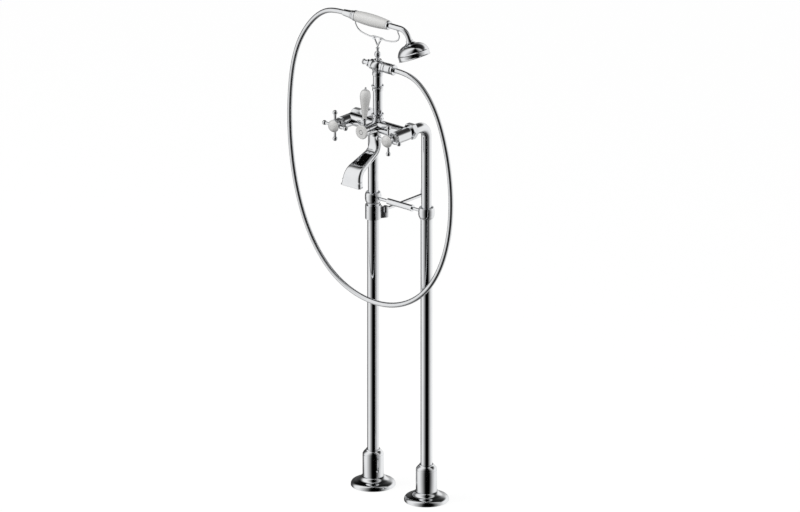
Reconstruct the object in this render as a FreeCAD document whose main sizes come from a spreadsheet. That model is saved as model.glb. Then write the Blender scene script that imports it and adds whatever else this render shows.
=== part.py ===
import FreeCAD, Part
import math
import os
import re

import Sketcher
from FreeCAD import Placement, Rotation, Vector

# Floor standing bath filler. Two pipes rise from the floor to a mixer with a bath spout, and a
# riser on the mixer carries a shower tee and a cradle for the handset.
# +X runs from the hot pipe to the cold pipe, -Y is the side of the bath and +Z is up. The
# origin is on the floor, midway between the two pipes. All sizes are in millimetres.
SIZES = {
    # The pair of supply pipes
    "pipe_spacing": 150,
    "lower_pipe_diameter": 25,
    "lower_pipe_wall": 2,
    "upper_pipe_diameter": 22,
    "upper_pipe_wall": 1.5,
    "pipe_seat_height": 20,
    "joint_height": 651,
    "pipe_bend_radius": 25,
    "mixer_height": 848,
    "mixer_reach": 72,
    # The foot of each pipe
    "flange_diameter": 96,
    "flange_rim_height": 8,
    "flange_crown_height": 16,
    "flange_wall": 1.6,
    "foot_collar_diameter": 45,
    "foot_collar_neck_diameter": 33,
    "foot_collar_top": 82,
    "foot_collar_chamfer": 5,
    "floor_plate_diameter": 84,
    "floor_plate_thickness": 6,
    "socket_diameter": 39,
    "socket_top": 70,
    "inlet_bore": 24.1,
    "inlet_depth": 14,
    "inlet_waterway": 18,
    "floor_hole_spacing": 66,
    "floor_hole_bore": 6.5,
    # The joint between the lower and the upper pipe
    "joint_diameter": 35,
    "joint_foot_diameter": 29,
    "joint_lip_diameter": 31,
    "joint_length_below": 14,
    "joint_length_above": 11.5,
    "joint_cup_depth": 1.6,
    "joint_stop": 2,
    # The spreader bar between the two joints
    "spreader_tube_diameter": 13,
    "spreader_stud_diameter": 6.5,
    "spreader_tube_length": 66,
    "spreader_socket_depth": 3,
    "lock_ring_diameter": 14.5,
    "lock_ring_length": 3.5,
    # The wall stay on the hot pipe
    "stay_drop": 48,
    "stay_clamp_diameter": 34,
    "stay_clamp_height": 31,
    "stay_groove_rise": 19,
    "stay_ear_height": 11.5,
    "stay_lug_height": 25,
    "stay_eye_height": 11.4,
    "stay_ear_angle": 59,
    "stay_ear_reach": 28,
    "stay_knuckle_diameter": 13,
    "stay_rod_diameter": 7,
    "stay_wall_distance": 157,
    "stay_pad_diameter": 30,
    "stay_pad_thickness": 4,
    "stay_hole_spacing": 19,
    "stay_hole_bore": 3.6,
    "stay_screw_diameter": 4,
    # The union that joins each upper pipe to the mixer
    "union_nut_across_flats": 32,
    "union_nut_length": 13,
    "union_tail_diameter": 23,
    "union_end": 48,
    "union_washer_thickness": 1.5,
    # The mixer body
    "bar_diameter": 28,
    "bar_bore": 16,
    "barrel_diameter": 28,
    "barrel_front": 33,
    "barrel_back": 8,
    "valve_bore": 20,
    "valve_depth": 25,
    "hub_diameter": 25,
    "hub_front": 36,
    "diverter_bore": 15,
    "riser_boss_diameter": 25,
    "riser_boss_height": 17,
    "spout_boss_diameter": 25,
    "spout_offset": 8,
    "spout_top": 18.3,
    # The valves and their cross handles
    "spindle_diameter": 8,
    "running_gap": 0.05,
    "moving_gap": 0.3,
    "bonnet_length": 11,
    "bonnet_diameter": 26,
    "bonnet_wall": 1.5,
    "handle_plane": 52,
    "handle_hub_diameter": 19,
    "handle_arm_reach": 34.8,
    "valve_drop": 2.3,
    "handle_ball_diameter": 10.5,
    "handle_arm_diameter": 6,
    "handle_front": 57,
    "dome_diameter": 27.5,
    "dome_height": 8.5,
    # The diverter lever
    "lever_plane": 44.5,
    "lever_lean": 3,
    "lever_hub_length": 11,
    "lever_root": 23.5,
    "ferrule_height": 6,
    "grip_height": 64,
    "grip_foot_diameter": 9,
    "grip_waist_diameter": 16,
    "grip_diameter": 23,
    "grip_top_diameter": 11,
    "finial_height": 6.5,
    "index_diameter": 31,
    "index_thickness": 5,
    # The spout
    "spout_neck_width": 27,
    "spout_neck_depth": 20,
    "spout_mid_depth": 13,
    "spout_outlet_width": 53,
    "spout_outlet_depth": 14,
    "spout_corner": 5,
    "spout_wall": 1.8,
    "spout_straight": 15.9,
    "spout_neck_radius": 26,
    "spout_slope": 24,
    "spout_run": 46,
    "spout_nose_radius": 27,
    "spout_nose_angle": 82,
    "spout_nose_length": 16.5,
    "spout_lip": 1,
    "spigot_diameter": 16,
    "spigot_length": 12,
    "spigot_root": 10,
    "oring_thickness": 1.6,
    # The riser
    "riser_diameter": 20,
    "riser_wall": 1.5,
    "riser_length": 117,
    "ring_lip_diameter": 26.5,
    "ring_height": 12,
    "top_ring_drop": 24,
    # The shower tee and its outlet
    "tee_rise": 20,
    "tee_diameter": 24,
    "tee_half_length": 17,
    "tee_collar_diameter": 23,
    "tee_collar_height": 8,
    "tee_bore": 14,
    "plug_diameter": 12,
    "plug_ring_diameter": 16,
    "plug_length": 23.5,
    "outlet_ring_diameter": 22,
    "outlet_ring_length": 7,
    "outlet_spigot_diameter": 12,
    "outlet_spigot_length": 18,
    "hose_nut_diameter": 22.5,
    "outlet_nut_length": 23.5,
    # The cradle
    "stem_foot_diameter": 17,
    "stem_bulb_diameter": 14,
    "stem_neck_diameter": 6,
    "stem_height": 28,
    "fork_prong_diameter": 4,
    "fork_half_spread": 9,
    "fork_saddle_width": 9,
    "fork_rise": 62.5,
    # The handset
    "handset_rise": 35.5,
    "grip_back_end": 59.5,
    "grip_front_end": 28.5,
    "handset_grip_diameter": 27,
    "handset_grip_back_diameter": 22,
    "handset_grip_front_diameter": 19.5,
    "handset_tube_diameter": 8,
    "handset_tube_wall": 1,
    "rear_ferrule_length": 10.5,
    "rear_ferrule_diameter": 23.5,
    "cone_nut_length": 25,
    "cone_nut_diameter": 17.5,
    "cone_nut_end_diameter": 14,
    "front_ferrule_length": 4.5,
    "neck_diameter": 12,
    "neck_wall": 1.5,
    "neck_bend_radius": 26,
    "rose_tilt": 22.7,
    "rose_reach": 104.6,
    "rose_drop": 57,
    "rose_diameter": 70,
    "rose_band_height": 11,
    "rose_shoulder_height": 31,
    "rose_height": 40,
    "rose_wall": 1.5,
    "rose_face_thickness": 2,
    "nozzle_bore": 1.6,
    "nozzle_ring_spacing": 7.5,
    "wire_diameter": 3,
    "wire_back_reach": 62.1,
    "front_lug_reach": 57,
    "front_lug_drop": 7,
    # The shower hose
    "hose_diameter": 11,
    "hose_bore": 7,
    "hose_drop": 539,
}

# Heights above the floor that follow from the piece below
HEIGHTS = {
    "stay_height": "joint_height - stay_drop",
    "riser_top": "mixer_height + riser_length",
    "top_ring_height": "riser_top - top_ring_drop",
    "tee_height": "riser_top + tee_rise",
    "fork_top": "tee_height + fork_rise",
    "handset_height": "fork_top + handset_rise",
    "rose_face_height": "handset_height - rose_drop",
}

UPRIGHT = Rotation(Vector(0, 0, 1), 0)
TO_FRONT = Rotation(Vector(1, 0, 0), 90)
TO_BACK = Rotation(Vector(1, 0, 0), -90)
TO_COLD = Rotation(Vector(0, 1, 0), 90)
TO_HOT = Rotation(Vector(0, 1, 0), -90)

doc = FreeCAD.newDocument("bath_filler")
sheet = doc.addObject("Spreadsheet::Sheet", "Sizes")
for line, (name, size) in enumerate(SIZES.items(), start=1):
    sheet.set(f"A{line}", name)
    sheet.set(f"B{line}", str(size))
    sheet.setAlias(f"B{line}", name)
doc.recompute()
pieces = []


def reference(word):
    """The sheet's cell for the name of a size, or the cells behind the name of a height."""
    name = word[0]
    if name in HEIGHTS:
        return f"({bound(HEIGHTS[name])})"
    return "Sizes." + name if name in SIZES else name


def bound(text):
    """Turn the names in an expression into references to the sheet."""
    return re.sub(r"[a-z]\w*", reference, text)


def value(text):
    """The number that an expression of size names gives now."""
    return float(sheet.evalExpression(bound(text)))


def place(thing, x="0", y="0", z="0", turn=UPRIGHT):
    """Put an object at a place given by expressions, and turn it."""
    thing.Placement = Placement(Vector(value(x), value(y), value(z)), turn)
    for axis, text in zip("xyz", (x, y, z)):
        thing.setExpression(f"Placement.Base.{axis}", bound(text))
    return thing


def piece(thing, label=None):
    """Name an object as one of the sub-parts that are written out."""
    thing.Label = label or thing.Label
    pieces.append(thing)
    return thing


def tie(sketch, edge, end, texts):
    """Fix one end of a sketch edge at two expressions, measured from the origin."""
    for kind, axis, text in zip(("DistanceX", "DistanceY"), (-2, -1), texts):
        if text == "0":
            sketch.addConstraint(Sketcher.Constraint("PointOnObject", edge, end, axis))
        else:
            number = sketch.addConstraint(Sketcher.Constraint(kind, -1, 1, edge, end, value(text)))
            sketch.setExpression(f"Constraints[{number}]", bound(text))


def outline(body, name, points, plane="XZ_Plane"):
    """Draw a closed outline on a plane of the body, with every corner fixed by sizes.

    A point is a pair of expressions. A third entry, "arc", makes it a point that the arc
    between the corners before and after it passes through."""
    sketch = body.newObject("Sketcher::SketchObject", name)
    sketch.AttachmentSupport = [(next(f for f in body.Origin.OriginFeatures if f.Role == plane), "")]
    sketch.MapMode = "FlatFace"
    at = [Vector(value(point[0]), value(point[1]), 0) for point in points]
    ends = []
    for start in (number for number, point in enumerate(points) if len(point) == 2):
        middle = (start + 1) % len(points)
        curved = len(points[middle]) == 3
        stop = (start + 2) % len(points) if curved else middle
        if curved:
            edge = sketch.addGeometry(Part.Arc(at[start], at[middle], at[stop]))
            guide = sketch.addGeometry(Part.Point(at[middle]), True)
            tie(sketch, guide, 1, points[middle][:2])
            sketch.addConstraint(Sketcher.Constraint("PointOnObject", guide, 1, edge))
        else:
            edge = sketch.addGeometry(Part.LineSegment(at[start], at[stop]))
        begins = 1 if sketch.getPoint(edge, 1).distanceToPoint(at[start]) < 1e-4 else 2
        ends.append((edge, begins, points[start]))
    for (edge, begins, _), (following, first, _) in zip(ends, ends[1:] + ends[:1]):
        sketch.addConstraint(Sketcher.Constraint("Coincident", edge, 3 - begins, following, first))
    for edge, begins, texts in ends:
        tie(sketch, edge, begins, texts)
    return sketch


def revolve(body, sketch, axis="V_Axis"):
    """Turn an outline right round one of its own axes."""
    turned_form = body.newObject("PartDesign::Revolution", sketch.Label + "_turned")
    turned_form.Profile = sketch
    turned_form.ReferenceAxis = (sketch, [axis])
    turned_form.Angle = 360
    return turned_form


def turned(label, points, **where):
    """A piece turned on a lathe: its half section is (radius, height) along its own Z."""
    body = doc.addObject("PartDesign::Body", label)
    body.Label = label
    revolve(body, outline(body, label + "_section", points))
    return place(body, **where)


def tube(label, inner, outer, bottom, top, **where):
    """A plain turned tube or ring."""
    return turned(label, [(inner, bottom), (outer, bottom), (outer, top), (inner, top)], **where)


def rod(label, radius, length, **where):
    """A plain cylinder that grows from its place along its own Z."""
    cylinder = doc.addObject("Part::Cylinder", label)
    cylinder.setExpression("Radius", bound(radius))
    cylinder.setExpression("Height", bound(length))
    return place(cylinder, **where)


def fuse(label, *things):
    """Join solids into one."""
    joined = doc.addObject("Part::MultiFuse", label)
    joined.Shapes = list(things)
    joined.Refine = True
    return joined


def cut(label, base, *tools):
    """Take the tools away from the base, one after another."""
    for number, tool in enumerate(tools, start=1):
        shape = doc.addObject("Part::Cut", label if number == len(tools) else f"{label}_cut_{number}")
        shape.Base = base
        shape.Tool = tool
        base = shape
    return base


def group(label, *things):
    """Several separate solids that share one node."""
    compound = doc.addObject("Part::Compound", label)
    compound.Links = list(things)
    return compound


def hexagonal(label, across_flats, length, blank, **where):
    """Cut six flats on a turned blank that has the same place."""
    prism = doc.addObject("Part::Prism", label + "_flats")
    prism.Polygon = 6
    prism.setExpression("Circumradius", bound(f"{across_flats} / sqrt(3)"))
    prism.setExpression("Height", bound(length))
    place(prism, **where)
    shape = doc.addObject("Part::Common", label)
    shape.Base = prism
    shape.Tool = blank
    return shape


def rounded_route(points, share=0.45, radius=None):
    """A wire of straight runs joined by tangent arcs through a list of points.

    Each arc is as large as its two runs allow, or has the radius given. It returns the
    wire and its radii."""
    edges = []
    radii = []
    last = points[0]
    for before, corner, after in zip(points, points[1:], points[2:]):
        back = before - corner
        ahead = after - corner
        half_turn = (math.pi - back.getAngle(ahead)) / 2
        reach = share * min(back.Length, ahead.Length)
        if radius:
            reach = radius * math.tan(half_turn)
        back.normalize()
        ahead.normalize()
        bend = reach / math.tan(half_turn)
        start = corner + back * reach
        stop = corner + ahead * reach
        centre = corner + (back + ahead).normalize() * (bend / math.cos(half_turn))
        middle = centre + (corner - centre).normalize() * bend
        edges.append(Part.LineSegment(last, start).toShape())
        edges.append(Part.Arc(start, middle, stop).toShape())
        radii.append(bend)
        last = stop
    edges.append(Part.LineSegment(last, points[-1]).toShape())
    return Part.Wire(edges), radii


def swept(wire, radius):
    """A round bar of the given radius along a wire."""
    first = wire.Edges[0]
    direction = first.tangentAt(first.FirstParameter)
    circle = Part.Wire(Part.Circle(first.valueAt(first.FirstParameter), direction, radius).toShape())
    return wire.makePipeShell([circle], True, False)


def feature(label, shape, **where):
    """A piece whose form is worked out here from the sheet's sizes."""
    thing = doc.addObject("Part::Feature", label)
    thing.Shape = shape
    return place(thing, **where)

# ---- Feet, supply pipes and their joints, one set on each side ----

SIDES = {"hot": "-pipe_spacing / 2", "cold": "pipe_spacing / 2"}

for side, side_x in SIDES.items():
    # The floor plate and its socket are one heavy turned piece that carries the pipe.
    plate = turned(f"{side}_floor_plate_blank", [
        ("inlet_bore / 2", "0"),
        ("floor_plate_diameter / 2", "0"),
        ("floor_plate_diameter / 2", "floor_plate_thickness"),
        ("socket_diameter / 2", "floor_plate_thickness"),
        ("socket_diameter / 2", "socket_top"),
        ("lower_pipe_diameter / 2", "socket_top"),
        ("lower_pipe_diameter / 2", "pipe_seat_height"),
        ("inlet_waterway / 2", "pipe_seat_height"),
        ("inlet_waterway / 2", "inlet_depth"),
        ("inlet_bore / 2", "inlet_depth"),
    ], x=side_x)
    floor_holes = [
        rod(f"{side}_floor_hole_{sign}", "floor_hole_bore / 2", "floor_plate_thickness",
            x=side_x, y=f"{sign} * floor_hole_spacing / 2")
        for sign in (-1, 1)
    ]
    piece(cut(f"{side}_floor_plate", plate, *floor_holes))

    # The cover is a thin bell that hides the plate and its screws.
    piece(turned(f"{side}_foot_cover", [
        ("flange_diameter / 2", "0"),
        ("flange_diameter / 2", "flange_rim_height - 3"),
        ("flange_diameter / 2 - 0.7", "flange_rim_height - 1", "arc"),
        ("flange_diameter / 2 - 3", "flange_rim_height + 0.4"),
        ("foot_collar_diameter / 2 + 6", "flange_crown_height - 2.2", "arc"),
        ("foot_collar_diameter / 2 + 1", "flange_crown_height"),
        ("socket_diameter / 2 + moving_gap", "flange_crown_height"),
        ("socket_diameter / 2 + moving_gap", "flange_crown_height - flange_wall"),
        ("foot_collar_diameter / 2 + 0.6", "flange_crown_height - flange_wall"),
        ("foot_collar_diameter / 2 + 6", "flange_crown_height - 2.2 - flange_wall", "arc"),
        ("flange_diameter / 2 - 3.6", "flange_rim_height + 0.4 - flange_wall"),
        ("flange_diameter / 2 - flange_wall", "flange_rim_height - 3"),
        ("flange_diameter / 2 - flange_wall", "0"),
    ], x=side_x))

    # The tall sleeve stands on the cover and closes on the pipe.
    piece(turned(f"{side}_foot_collar", [
        ("socket_diameter / 2 + moving_gap", "flange_crown_height"),
        ("foot_collar_diameter / 2", "flange_crown_height"),
        ("foot_collar_diameter / 2", "foot_collar_top - foot_collar_chamfer - 1.6"),
        ("foot_collar_diameter / 2 - 0.8", "foot_collar_top - foot_collar_chamfer - 1.2"),
        ("foot_collar_diameter / 2 - 0.8", "foot_collar_top - foot_collar_chamfer - 0.4"),
        ("foot_collar_diameter / 2", "foot_collar_top - foot_collar_chamfer"),
        ("(foot_collar_diameter + foot_collar_neck_diameter) / 4 + 1",
         "foot_collar_top - foot_collar_chamfer / 2 + 0.6", "arc"),
        ("foot_collar_neck_diameter / 2", "foot_collar_top"),
        ("lower_pipe_diameter / 2", "foot_collar_top"),
        ("lower_pipe_diameter / 2", "socket_top + moving_gap"),
        ("socket_diameter / 2 + moving_gap", "socket_top + moving_gap"),
    ], x=side_x))

    piece(tube(f"{side}_lower_pipe", "lower_pipe_diameter / 2 - lower_pipe_wall",
               "lower_pipe_diameter / 2", "pipe_seat_height", "joint_height - joint_stop / 2", x=side_x))

    # A bell shaped joint with a cupped top takes both pipes and one end of the spreader.
    joint = turned(f"{side}_pipe_joint_blank", [
        ("lower_pipe_diameter / 2", "-joint_length_below"),
        ("joint_foot_diameter / 2", "-joint_length_below"),
        ("joint_foot_diameter / 2", "-joint_length_below + 1.5"),
        ("joint_diameter / 2 - 0.8", "-joint_length_below + 6", "arc"),
        ("joint_diameter / 2", "-joint_length_below + 11"),
        ("joint_diameter / 2", "joint_length_above - 9"),
        ("joint_diameter / 2 - 0.4", "joint_length_above - 5", "arc"),
        ("joint_lip_diameter / 2", "joint_length_above - 0.5"),
        ("joint_lip_diameter / 2 - 0.5", "joint_length_above"),
        ("joint_lip_diameter / 2 - 1.6", "joint_length_above"),
        ("joint_lip_diameter / 2 - 2", "joint_length_above - joint_cup_depth"),
        ("upper_pipe_diameter / 2", "joint_length_above - joint_cup_depth"),
        ("upper_pipe_diameter / 2", "joint_stop / 2"),
        ("upper_pipe_diameter / 2 - upper_pipe_wall", "joint_stop / 2"),
        ("upper_pipe_diameter / 2 - upper_pipe_wall", "-joint_stop / 2"),
        ("lower_pipe_diameter / 2", "-joint_stop / 2"),
    ], x=side_x, z="joint_height")
    inward = {"hot": "", "cold": "-"}[side]
    spreader_socket = rod(
        f"{side}_spreader_socket", "spreader_stud_diameter / 2", "joint_diameter",
        x=f"{side_x} + {inward}(joint_diameter / 2 - spreader_socket_depth)", z="joint_height",
        turn=TO_COLD if side == "hot" else TO_HOT)
    piece(cut(f"{side}_pipe_joint", joint, spreader_socket))

# The upper pipe rises from the joint, bends forward and ends in a small flange that the
# union nut holds.
def pipe_run(label, radius, side_x, start, end):
    """One solid along the upper pipe: up, round the bend and forward."""
    riser = rod(f"{label}_up", radius, f"mixer_height - pipe_bend_radius - {start}",
                x=side_x, z=start)
    bend = doc.addObject("Part::Torus", f"{label}_bend")
    bend.setExpression("Radius1", bound("pipe_bend_radius"))
    bend.setExpression("Radius2", bound(radius))
    bend.Angle3 = 90
    place(bend, x=side_x, y="-pipe_bend_radius", z="mixer_height - pipe_bend_radius",
          turn=Rotation(Vector(0, 1, 0), Vector(0, 0, 1), Vector(1, 0, 0), "XYZ"))
    leg = rod(f"{label}_leg", radius, f"{end} - pipe_bend_radius",
              x=side_x, y="-pipe_bend_radius", z="mixer_height", turn=TO_FRONT)
    return fuse(label, riser, bend, leg)


for side, side_x in SIDES.items():
    outer = pipe_run(f"{side}_pipe_outside", "upper_pipe_diameter / 2", side_x,
                     "(joint_height + joint_stop / 2)", "union_end")
    bore = pipe_run(f"{side}_pipe_bore", "(upper_pipe_diameter / 2 - upper_pipe_wall)", side_x,
                    "(joint_height + joint_stop / 2)", "union_end")
    flange = rod(f"{side}_pipe_flange", "union_tail_diameter / 2 + 0.8", "2",
                 x=side_x, y="-union_end + 2", z="mixer_height", turn=TO_FRONT)
    piece(cut(f"{side}_upper_pipe", fuse(f"{side}_pipe_with_flange", outer, flange), bore))

    # The nut's back lip draws the pipe's flange against the washer and the mixer's tail.
    nut_back = "union_end - 2 - 2"
    nut_blank = turned(f"{side}_union_nut_blank", [
        ("upper_pipe_diameter / 2 + 0.1", "0"),
        ("union_nut_across_flats / 2 - 0.6", "0"),
        ("union_nut_across_flats / sqrt(3)", "1.6"),
        ("union_nut_across_flats / sqrt(3)", "union_nut_length - 1.6"),
        ("union_nut_across_flats / 2 - 0.6", "union_nut_length"),
        ("union_tail_diameter / 2", "union_nut_length"),
        ("union_tail_diameter / 2", "6"),
        ("union_tail_diameter / 2 + 1", "6"),
        ("union_tail_diameter / 2 + 1", "2"),
        ("upper_pipe_diameter / 2 + 0.1", "2"),
    ], x=side_x, y=f"-({nut_back})", z="mixer_height", turn=TO_FRONT)
    piece(hexagonal(f"{side}_union_nut", "union_nut_across_flats", "union_nut_length", nut_blank,
                    x=side_x, y=f"-({nut_back})", z="mixer_height", turn=TO_FRONT))

piece(group("union_washers", *[
    tube(f"{side}_union_washer", "upper_pipe_diameter / 2 - upper_pipe_wall",
         "union_tail_diameter / 2", "0", "union_washer_thickness",
         x=side_x, y="-union_end", z="mixer_height", turn=TO_FRONT)
    for side, side_x in SIDES.items()
]))

# ---- Spreader bar between the pipe joints ----

piece(tube("spreader_tube", "spreader_stud_diameter / 2", "spreader_tube_diameter / 2",
           "0", "spreader_tube_length", x="-spreader_tube_length / 2", z="joint_height", turn=TO_COLD))
stud_length = ("pipe_spacing / 2 - joint_diameter / 2 + spreader_socket_depth"
               " - spreader_tube_length / 4")
piece(group("spreader_studs", *[
    rod(f"{side}_spreader_stud", "spreader_stud_diameter / 2", stud_length,
        x=f"{sign} * spreader_tube_length / 4", z="joint_height", turn=turn)
    for side, sign, turn in (("hot", -1, TO_HOT), ("cold", 1, TO_COLD))
]))
piece(tube("spreader_lock_ring", "spreader_stud_diameter / 2", "lock_ring_diameter / 2",
           "0", "lock_ring_length", x="spreader_tube_length / 2", z="joint_height", turn=TO_COLD))

# ---- Wall stay: a split clamp on the hot pipe and a rod that swings to the wall ----

ear_x = "stay_ear_reach * cos(stay_ear_angle * 1deg)"
ear_y = "stay_ear_reach * sin(stay_ear_angle * 1deg)"
knuckle_x = f"-pipe_spacing / 2 + {ear_x}"
ear_top = "stay_height + stay_ear_height"
clamp_ring = rod("stay_clamp_ring", "stay_clamp_diameter / 2", "stay_clamp_height",
                 x=SIDES["hot"], z="stay_height")
clamp_ear = doc.addObject("Part::Box", "stay_clamp_ear")
clamp_ear.setExpression("Length", bound("stay_ear_reach"))
clamp_ear.setExpression("Width", bound("stay_knuckle_diameter"))
clamp_ear.setExpression("Height", bound("stay_ear_height"))
ear_turn = Rotation(Vector(0, 0, 1), value("stay_ear_angle"))
ear_corner = {
    "x": "-pipe_spacing / 2 + stay_knuckle_diameter / 2 * sin(stay_ear_angle * 1deg)",
    "y": "-stay_knuckle_diameter / 2 * cos(stay_ear_angle * 1deg)",
    "z": "stay_height",
    "turn": ear_turn,
}
place(clamp_ear, **ear_corner)
# The lug above the ear stops short of the arm's eye.
clamp_lug = doc.addObject("Part::Box", "stay_clamp_lug")
clamp_lug.setExpression("Length", bound("stay_ear_reach - stay_knuckle_diameter / 2 - 0.6"))
clamp_lug.setExpression("Width", bound("stay_knuckle_diameter"))
clamp_lug.setExpression("Height", bound("stay_lug_height"))
place(clamp_lug, **ear_corner)
clamp_knuckle = rod("stay_clamp_knuckle", "stay_knuckle_diameter / 2", "stay_ear_height",
                    x=knuckle_x, y=ear_y, z="stay_height")
clamp_groove = tube("stay_clamp_groove", "stay_clamp_diameter / 2 - 0.8", "stay_clamp_diameter / 2 + 1",
                    "stay_groove_rise", "stay_groove_rise + 1", x=SIDES["hot"], z="stay_height")
clamp_bore = rod("stay_clamp_bore", "lower_pipe_diameter / 2", "stay_clamp_height",
                 x=SIDES["hot"], z="stay_height")
screw_hole = rod("stay_screw_hole", "stay_screw_diameter / 2", "stay_ear_height",
                 x=knuckle_x, y=ear_y, z="stay_height")
grooved_ring = cut("stay_grooved_ring", clamp_ring, clamp_groove)
piece(cut("stay_clamp", fuse("stay_clamp_blank", grooved_ring, clamp_ear, clamp_lug, clamp_knuckle),
          clamp_bore, screw_hole))

eye_bottom = f"{ear_top} + moving_gap"
eye_height = "stay_eye_height"
rod_z = f"{eye_bottom} + {eye_height} / 2"
arm_eye = rod("stay_arm_eye", "stay_knuckle_diameter / 2", eye_height,
              x=knuckle_x, y=ear_y, z=eye_bottom)
arm_rod = rod("stay_arm_rod", "stay_rod_diameter / 2", f"stay_wall_distance - 2 - {ear_y}",
              x=knuckle_x, y=ear_y, z=rod_z, turn=TO_BACK)
arm_bore = rod("stay_arm_bore", "stay_screw_diameter / 2 + running_gap", eye_height,
               x=knuckle_x, y=ear_y, z=eye_bottom)
piece(cut("stay_arm", fuse("stay_arm_blank", arm_eye, arm_rod), arm_bore))

# The screw is fast in the clamp's ear, and its head keeps the arm's eye on it.
piece(turned("stay_pivot_screw", [
    ("0", "stay_height"),
    ("stay_screw_diameter / 2", "stay_height"),
    ("stay_screw_diameter / 2", f"{eye_bottom} + {eye_height} + moving_gap"),
    ("stay_screw_diameter", f"{eye_bottom} + {eye_height} + moving_gap"),
    ("stay_screw_diameter", f"{eye_bottom} + {eye_height} + moving_gap + 1.2"),
    ("0", f"{eye_bottom} + {eye_height} + moving_gap + 2.4"),
], x=knuckle_x, y=ear_y))

pad = turned("stay_pad_blank", [
    ("stay_rod_diameter / 2", "-5"),
    ("stay_rod_diameter / 2 + 3", "-5"),
    ("stay_rod_diameter / 2 + 3.5", "-stay_pad_thickness"),
    ("stay_pad_diameter / 2", "-stay_pad_thickness + 1.5"),
    ("stay_pad_diameter / 2", "0"),
    ("0", "0"),
    ("0", "-2"),
    ("stay_rod_diameter / 2", "-2"),
], x=knuckle_x, y="stay_wall_distance", z=rod_z, turn=TO_BACK)
pad_holes = [
    rod(f"stay_pad_hole_{sign}", "stay_hole_bore / 2", "stay_pad_thickness + 4", x=knuckle_x,
        y="stay_wall_distance + 2", z=f"{rod_z} + {sign} * stay_hole_spacing / 2", turn=TO_FRONT)
    for sign in (-1, 1)
]
piece(cut("stay_pad", pad, *pad_holes))

# ---- Mixer body, its valves and the two cross handles ----

MIXER = {"y": "-mixer_reach", "z": "mixer_height"}
spout_y = "-mixer_reach - spout_offset"
spout_top_z = "mixer_height - spout_top"

body_parts = [rod("mixer_bar", "bar_diameter / 2", "pipe_spacing", x=SIDES["hot"], turn=TO_COLD, **MIXER)]
body_bores = [rod("mixer_bar_bore", "bar_bore / 2", "pipe_spacing", x=SIDES["hot"], turn=TO_COLD, **MIXER)]
for side, side_x in SIDES.items():
    behind = {"x": side_x, "z": "mixer_height", "turn": TO_FRONT}
    valve_line = {"x": side_x, "z": "mixer_height - valve_drop", "turn": TO_FRONT}
    body_parts.append(rod(f"{side}_barrel", "barrel_diameter / 2", "barrel_front + barrel_back",
                          y="-mixer_reach + barrel_back", **valve_line))
    tail_y = "-(union_end + union_washer_thickness)"
    body_parts.append(rod(f"{side}_tail", "union_tail_diameter / 2",
                          "mixer_reach - union_end - union_washer_thickness", y=tail_y, **behind))
    body_bores.append(rod(f"{side}_tail_bore", "upper_pipe_diameter / 2 - upper_pipe_wall",
                          "mixer_reach - union_end - union_washer_thickness", y=tail_y, **behind))
    body_bores.append(rod(f"{side}_valve_bore", "valve_bore / 2", "valve_depth",
                          y="-mixer_reach - barrel_front + valve_depth", **valve_line))
body_parts.append(rod("diverter_hub", "hub_diameter / 2", "hub_front", turn=TO_FRONT, **MIXER))
body_bores.append(rod("diverter_hub_bore", "diverter_bore / 2", "hub_front", turn=TO_FRONT, **MIXER))
body_parts.append(rod("riser_boss", "riser_boss_diameter / 2", "riser_boss_height", **MIXER))
body_bores.append(rod("riser_boss_bore", "riser_diameter / 2 - riser_wall", "riser_boss_height", **MIXER))
body_parts.append(rod("spout_boss", "spout_boss_diameter / 2", "spout_top - moving_gap",
                      y=spout_y, z=f"{spout_top_z} + moving_gap"))
body_bores.append(rod("spout_boss_bore", "spigot_diameter / 2 + running_gap",
                      "spigot_length + moving_gap", y=spout_y, z=spout_top_z))
riser_socket = rod("riser_socket", "riser_diameter / 2", "6",
                   y="-mixer_reach", z="mixer_height + riser_boss_height - 6")
piece(cut("mixer_body", fuse("mixer_body_blank", *body_parts), *body_bores, riser_socket))

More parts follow.
